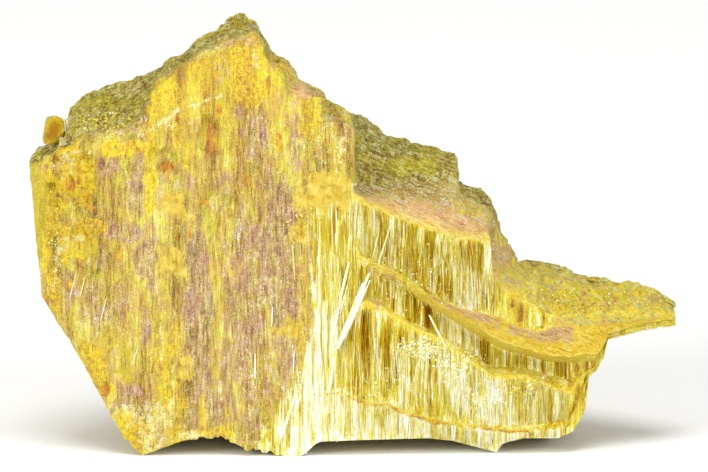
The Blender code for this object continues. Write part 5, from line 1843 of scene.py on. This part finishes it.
add_clear_piece("amber_crystal", rounded_polyhedron(AMBER_PLANES, AMBER_CENTRE), AMBER_CLEAR)
for number, (centre, size, turn) in enumerate(CLEAR_FLAKES):
    flake = rounded_polyhedron(CLEAR_PLANES, centre, size, turn)
    add_clear_piece(f"clear_flake_{number}", flake, PALE_CLEAR)
print("clear pieces:", 1 + len(CLEAR_FLAKES))

# %% [markdown]
# ## Floor, light and camera
# The stone stands on a plain pale floor in a bright, soft studio. Two large lamps beside the
# camera graze the fibres from both sides, a third one above picks out the ledges, a weak low
# one in front opens the hollows under them, and a pale world fills the rest. The camera looks
# square at the leaning face through a long lens, which keeps the outline free of perspective.

# %% Floor
FLOOR_SIZE = 6.0


def make_floor():
    """A wide matte floor."""
    half = FLOOR_SIZE / 2.0
    corners = np.array([(-half, -half, 0.0), (half, -half, 0.0), (half, half, 0.0),
                        (-half, half, 0.0)])
    floor = build_mesh("floor", corners, [(0, 1, 2, 3)])
    material, tree, shader = start_material("floor_paper")
    grain = add_node(tree, "ShaderNodeTexNoise", None, Scale=90.0, Detail=3.0)
    tree.links.new(mix_colour(tree, grain.outputs["Fac"], (0.93, 0.93, 0.92, 1.0),
                              (0.96, 0.96, 0.95, 1.0)), shader.inputs["Base Color"])
    shader.inputs["Roughness"].default_value = 0.9
    shader.inputs["Specular IOR Level"].default_value = 0.1
    floor.data.materials.append(material)


make_floor()
print("floor:", FLOOR_SIZE, "m wide")

# %% Lamps, world and camera
PICTURE_WIDTH = 84.96
PICTURE_CENTRE = (0.18, 26.5)
LENS = 400.0
SENSOR = 36.0
STONE_MIDDLE = (0.0, -0.008, 0.026)


def aim(thing, target):
    """Point an object's -Z at a place."""
    direction = Vector(target) - thing.location
    thing.rotation_euler = direction.to_track_quat("-Z", "Y").to_euler()


def make_lamp(name, place, target, size, power):
    """A square soft box."""
    data = bpy.data.lights.new(name, "AREA")
    data.shape = "SQUARE"
    data.size = size
    data.energy = power
    lamp = bpy.data.objects.new(name, data)
    lamp.location = place
    bpy.context.scene.collection.objects.link(lamp)
    aim(lamp, target)


def make_camera():
    """A long lens, square to the leaning face."""
    middle = to_world(np.array([PICTURE_CENTRE[0], PICTURE_CENTRE[1], 0.0]))
    distance = LENS * PICTURE_WIDTH * MILLIMETRE / SENSOR
    data = bpy.data.cameras.new("camera")
    data.lens = LENS
    data.sensor_width = SENSOR
    data.clip_start = 0.05
    data.clip_end = 20.0
    camera = bpy.data.objects.new("camera", data)
    back = (0.0, -math.cos(LEAN_BACK) * distance, math.sin(LEAN_BACK) * distance)
    camera.location = Vector(middle + np.array(back))
    bpy.context.scene.collection.objects.link(camera)
    aim(camera, middle)
    bpy.context.scene.camera = camera


def make_world(strength):
    """An even pale surround."""
    world = bpy.data.worlds.new("studio")
    world.use_nodes = True
    background = world.node_tree.nodes["Background"]
    background.inputs["Color"].default_value = (1.0, 1.0, 1.0, 1.0)
    background.inputs["Strength"].default_value = strength
    bpy.context.scene.world = world


make_lamp("lamp_left", (-1.40, -0.95, 0.75), STONE_MIDDLE, 0.70, 15.5)
make_lamp("lamp_right", (1.50, -0.80, 0.70), STONE_MIDDLE, 0.65, 9.5)
make_lamp("lamp_above", (-0.10, -0.30, 1.90), STONE_MIDDLE, 0.95, 19.0)
make_lamp("lamp_low", (0.15, -1.60, 0.22), STONE_MIDDLE, 0.80, 4.5)
make_world(0.40)
make_camera()
bpy.context.scene.view_settings.view_transform = "Standard"
print("stage is set")
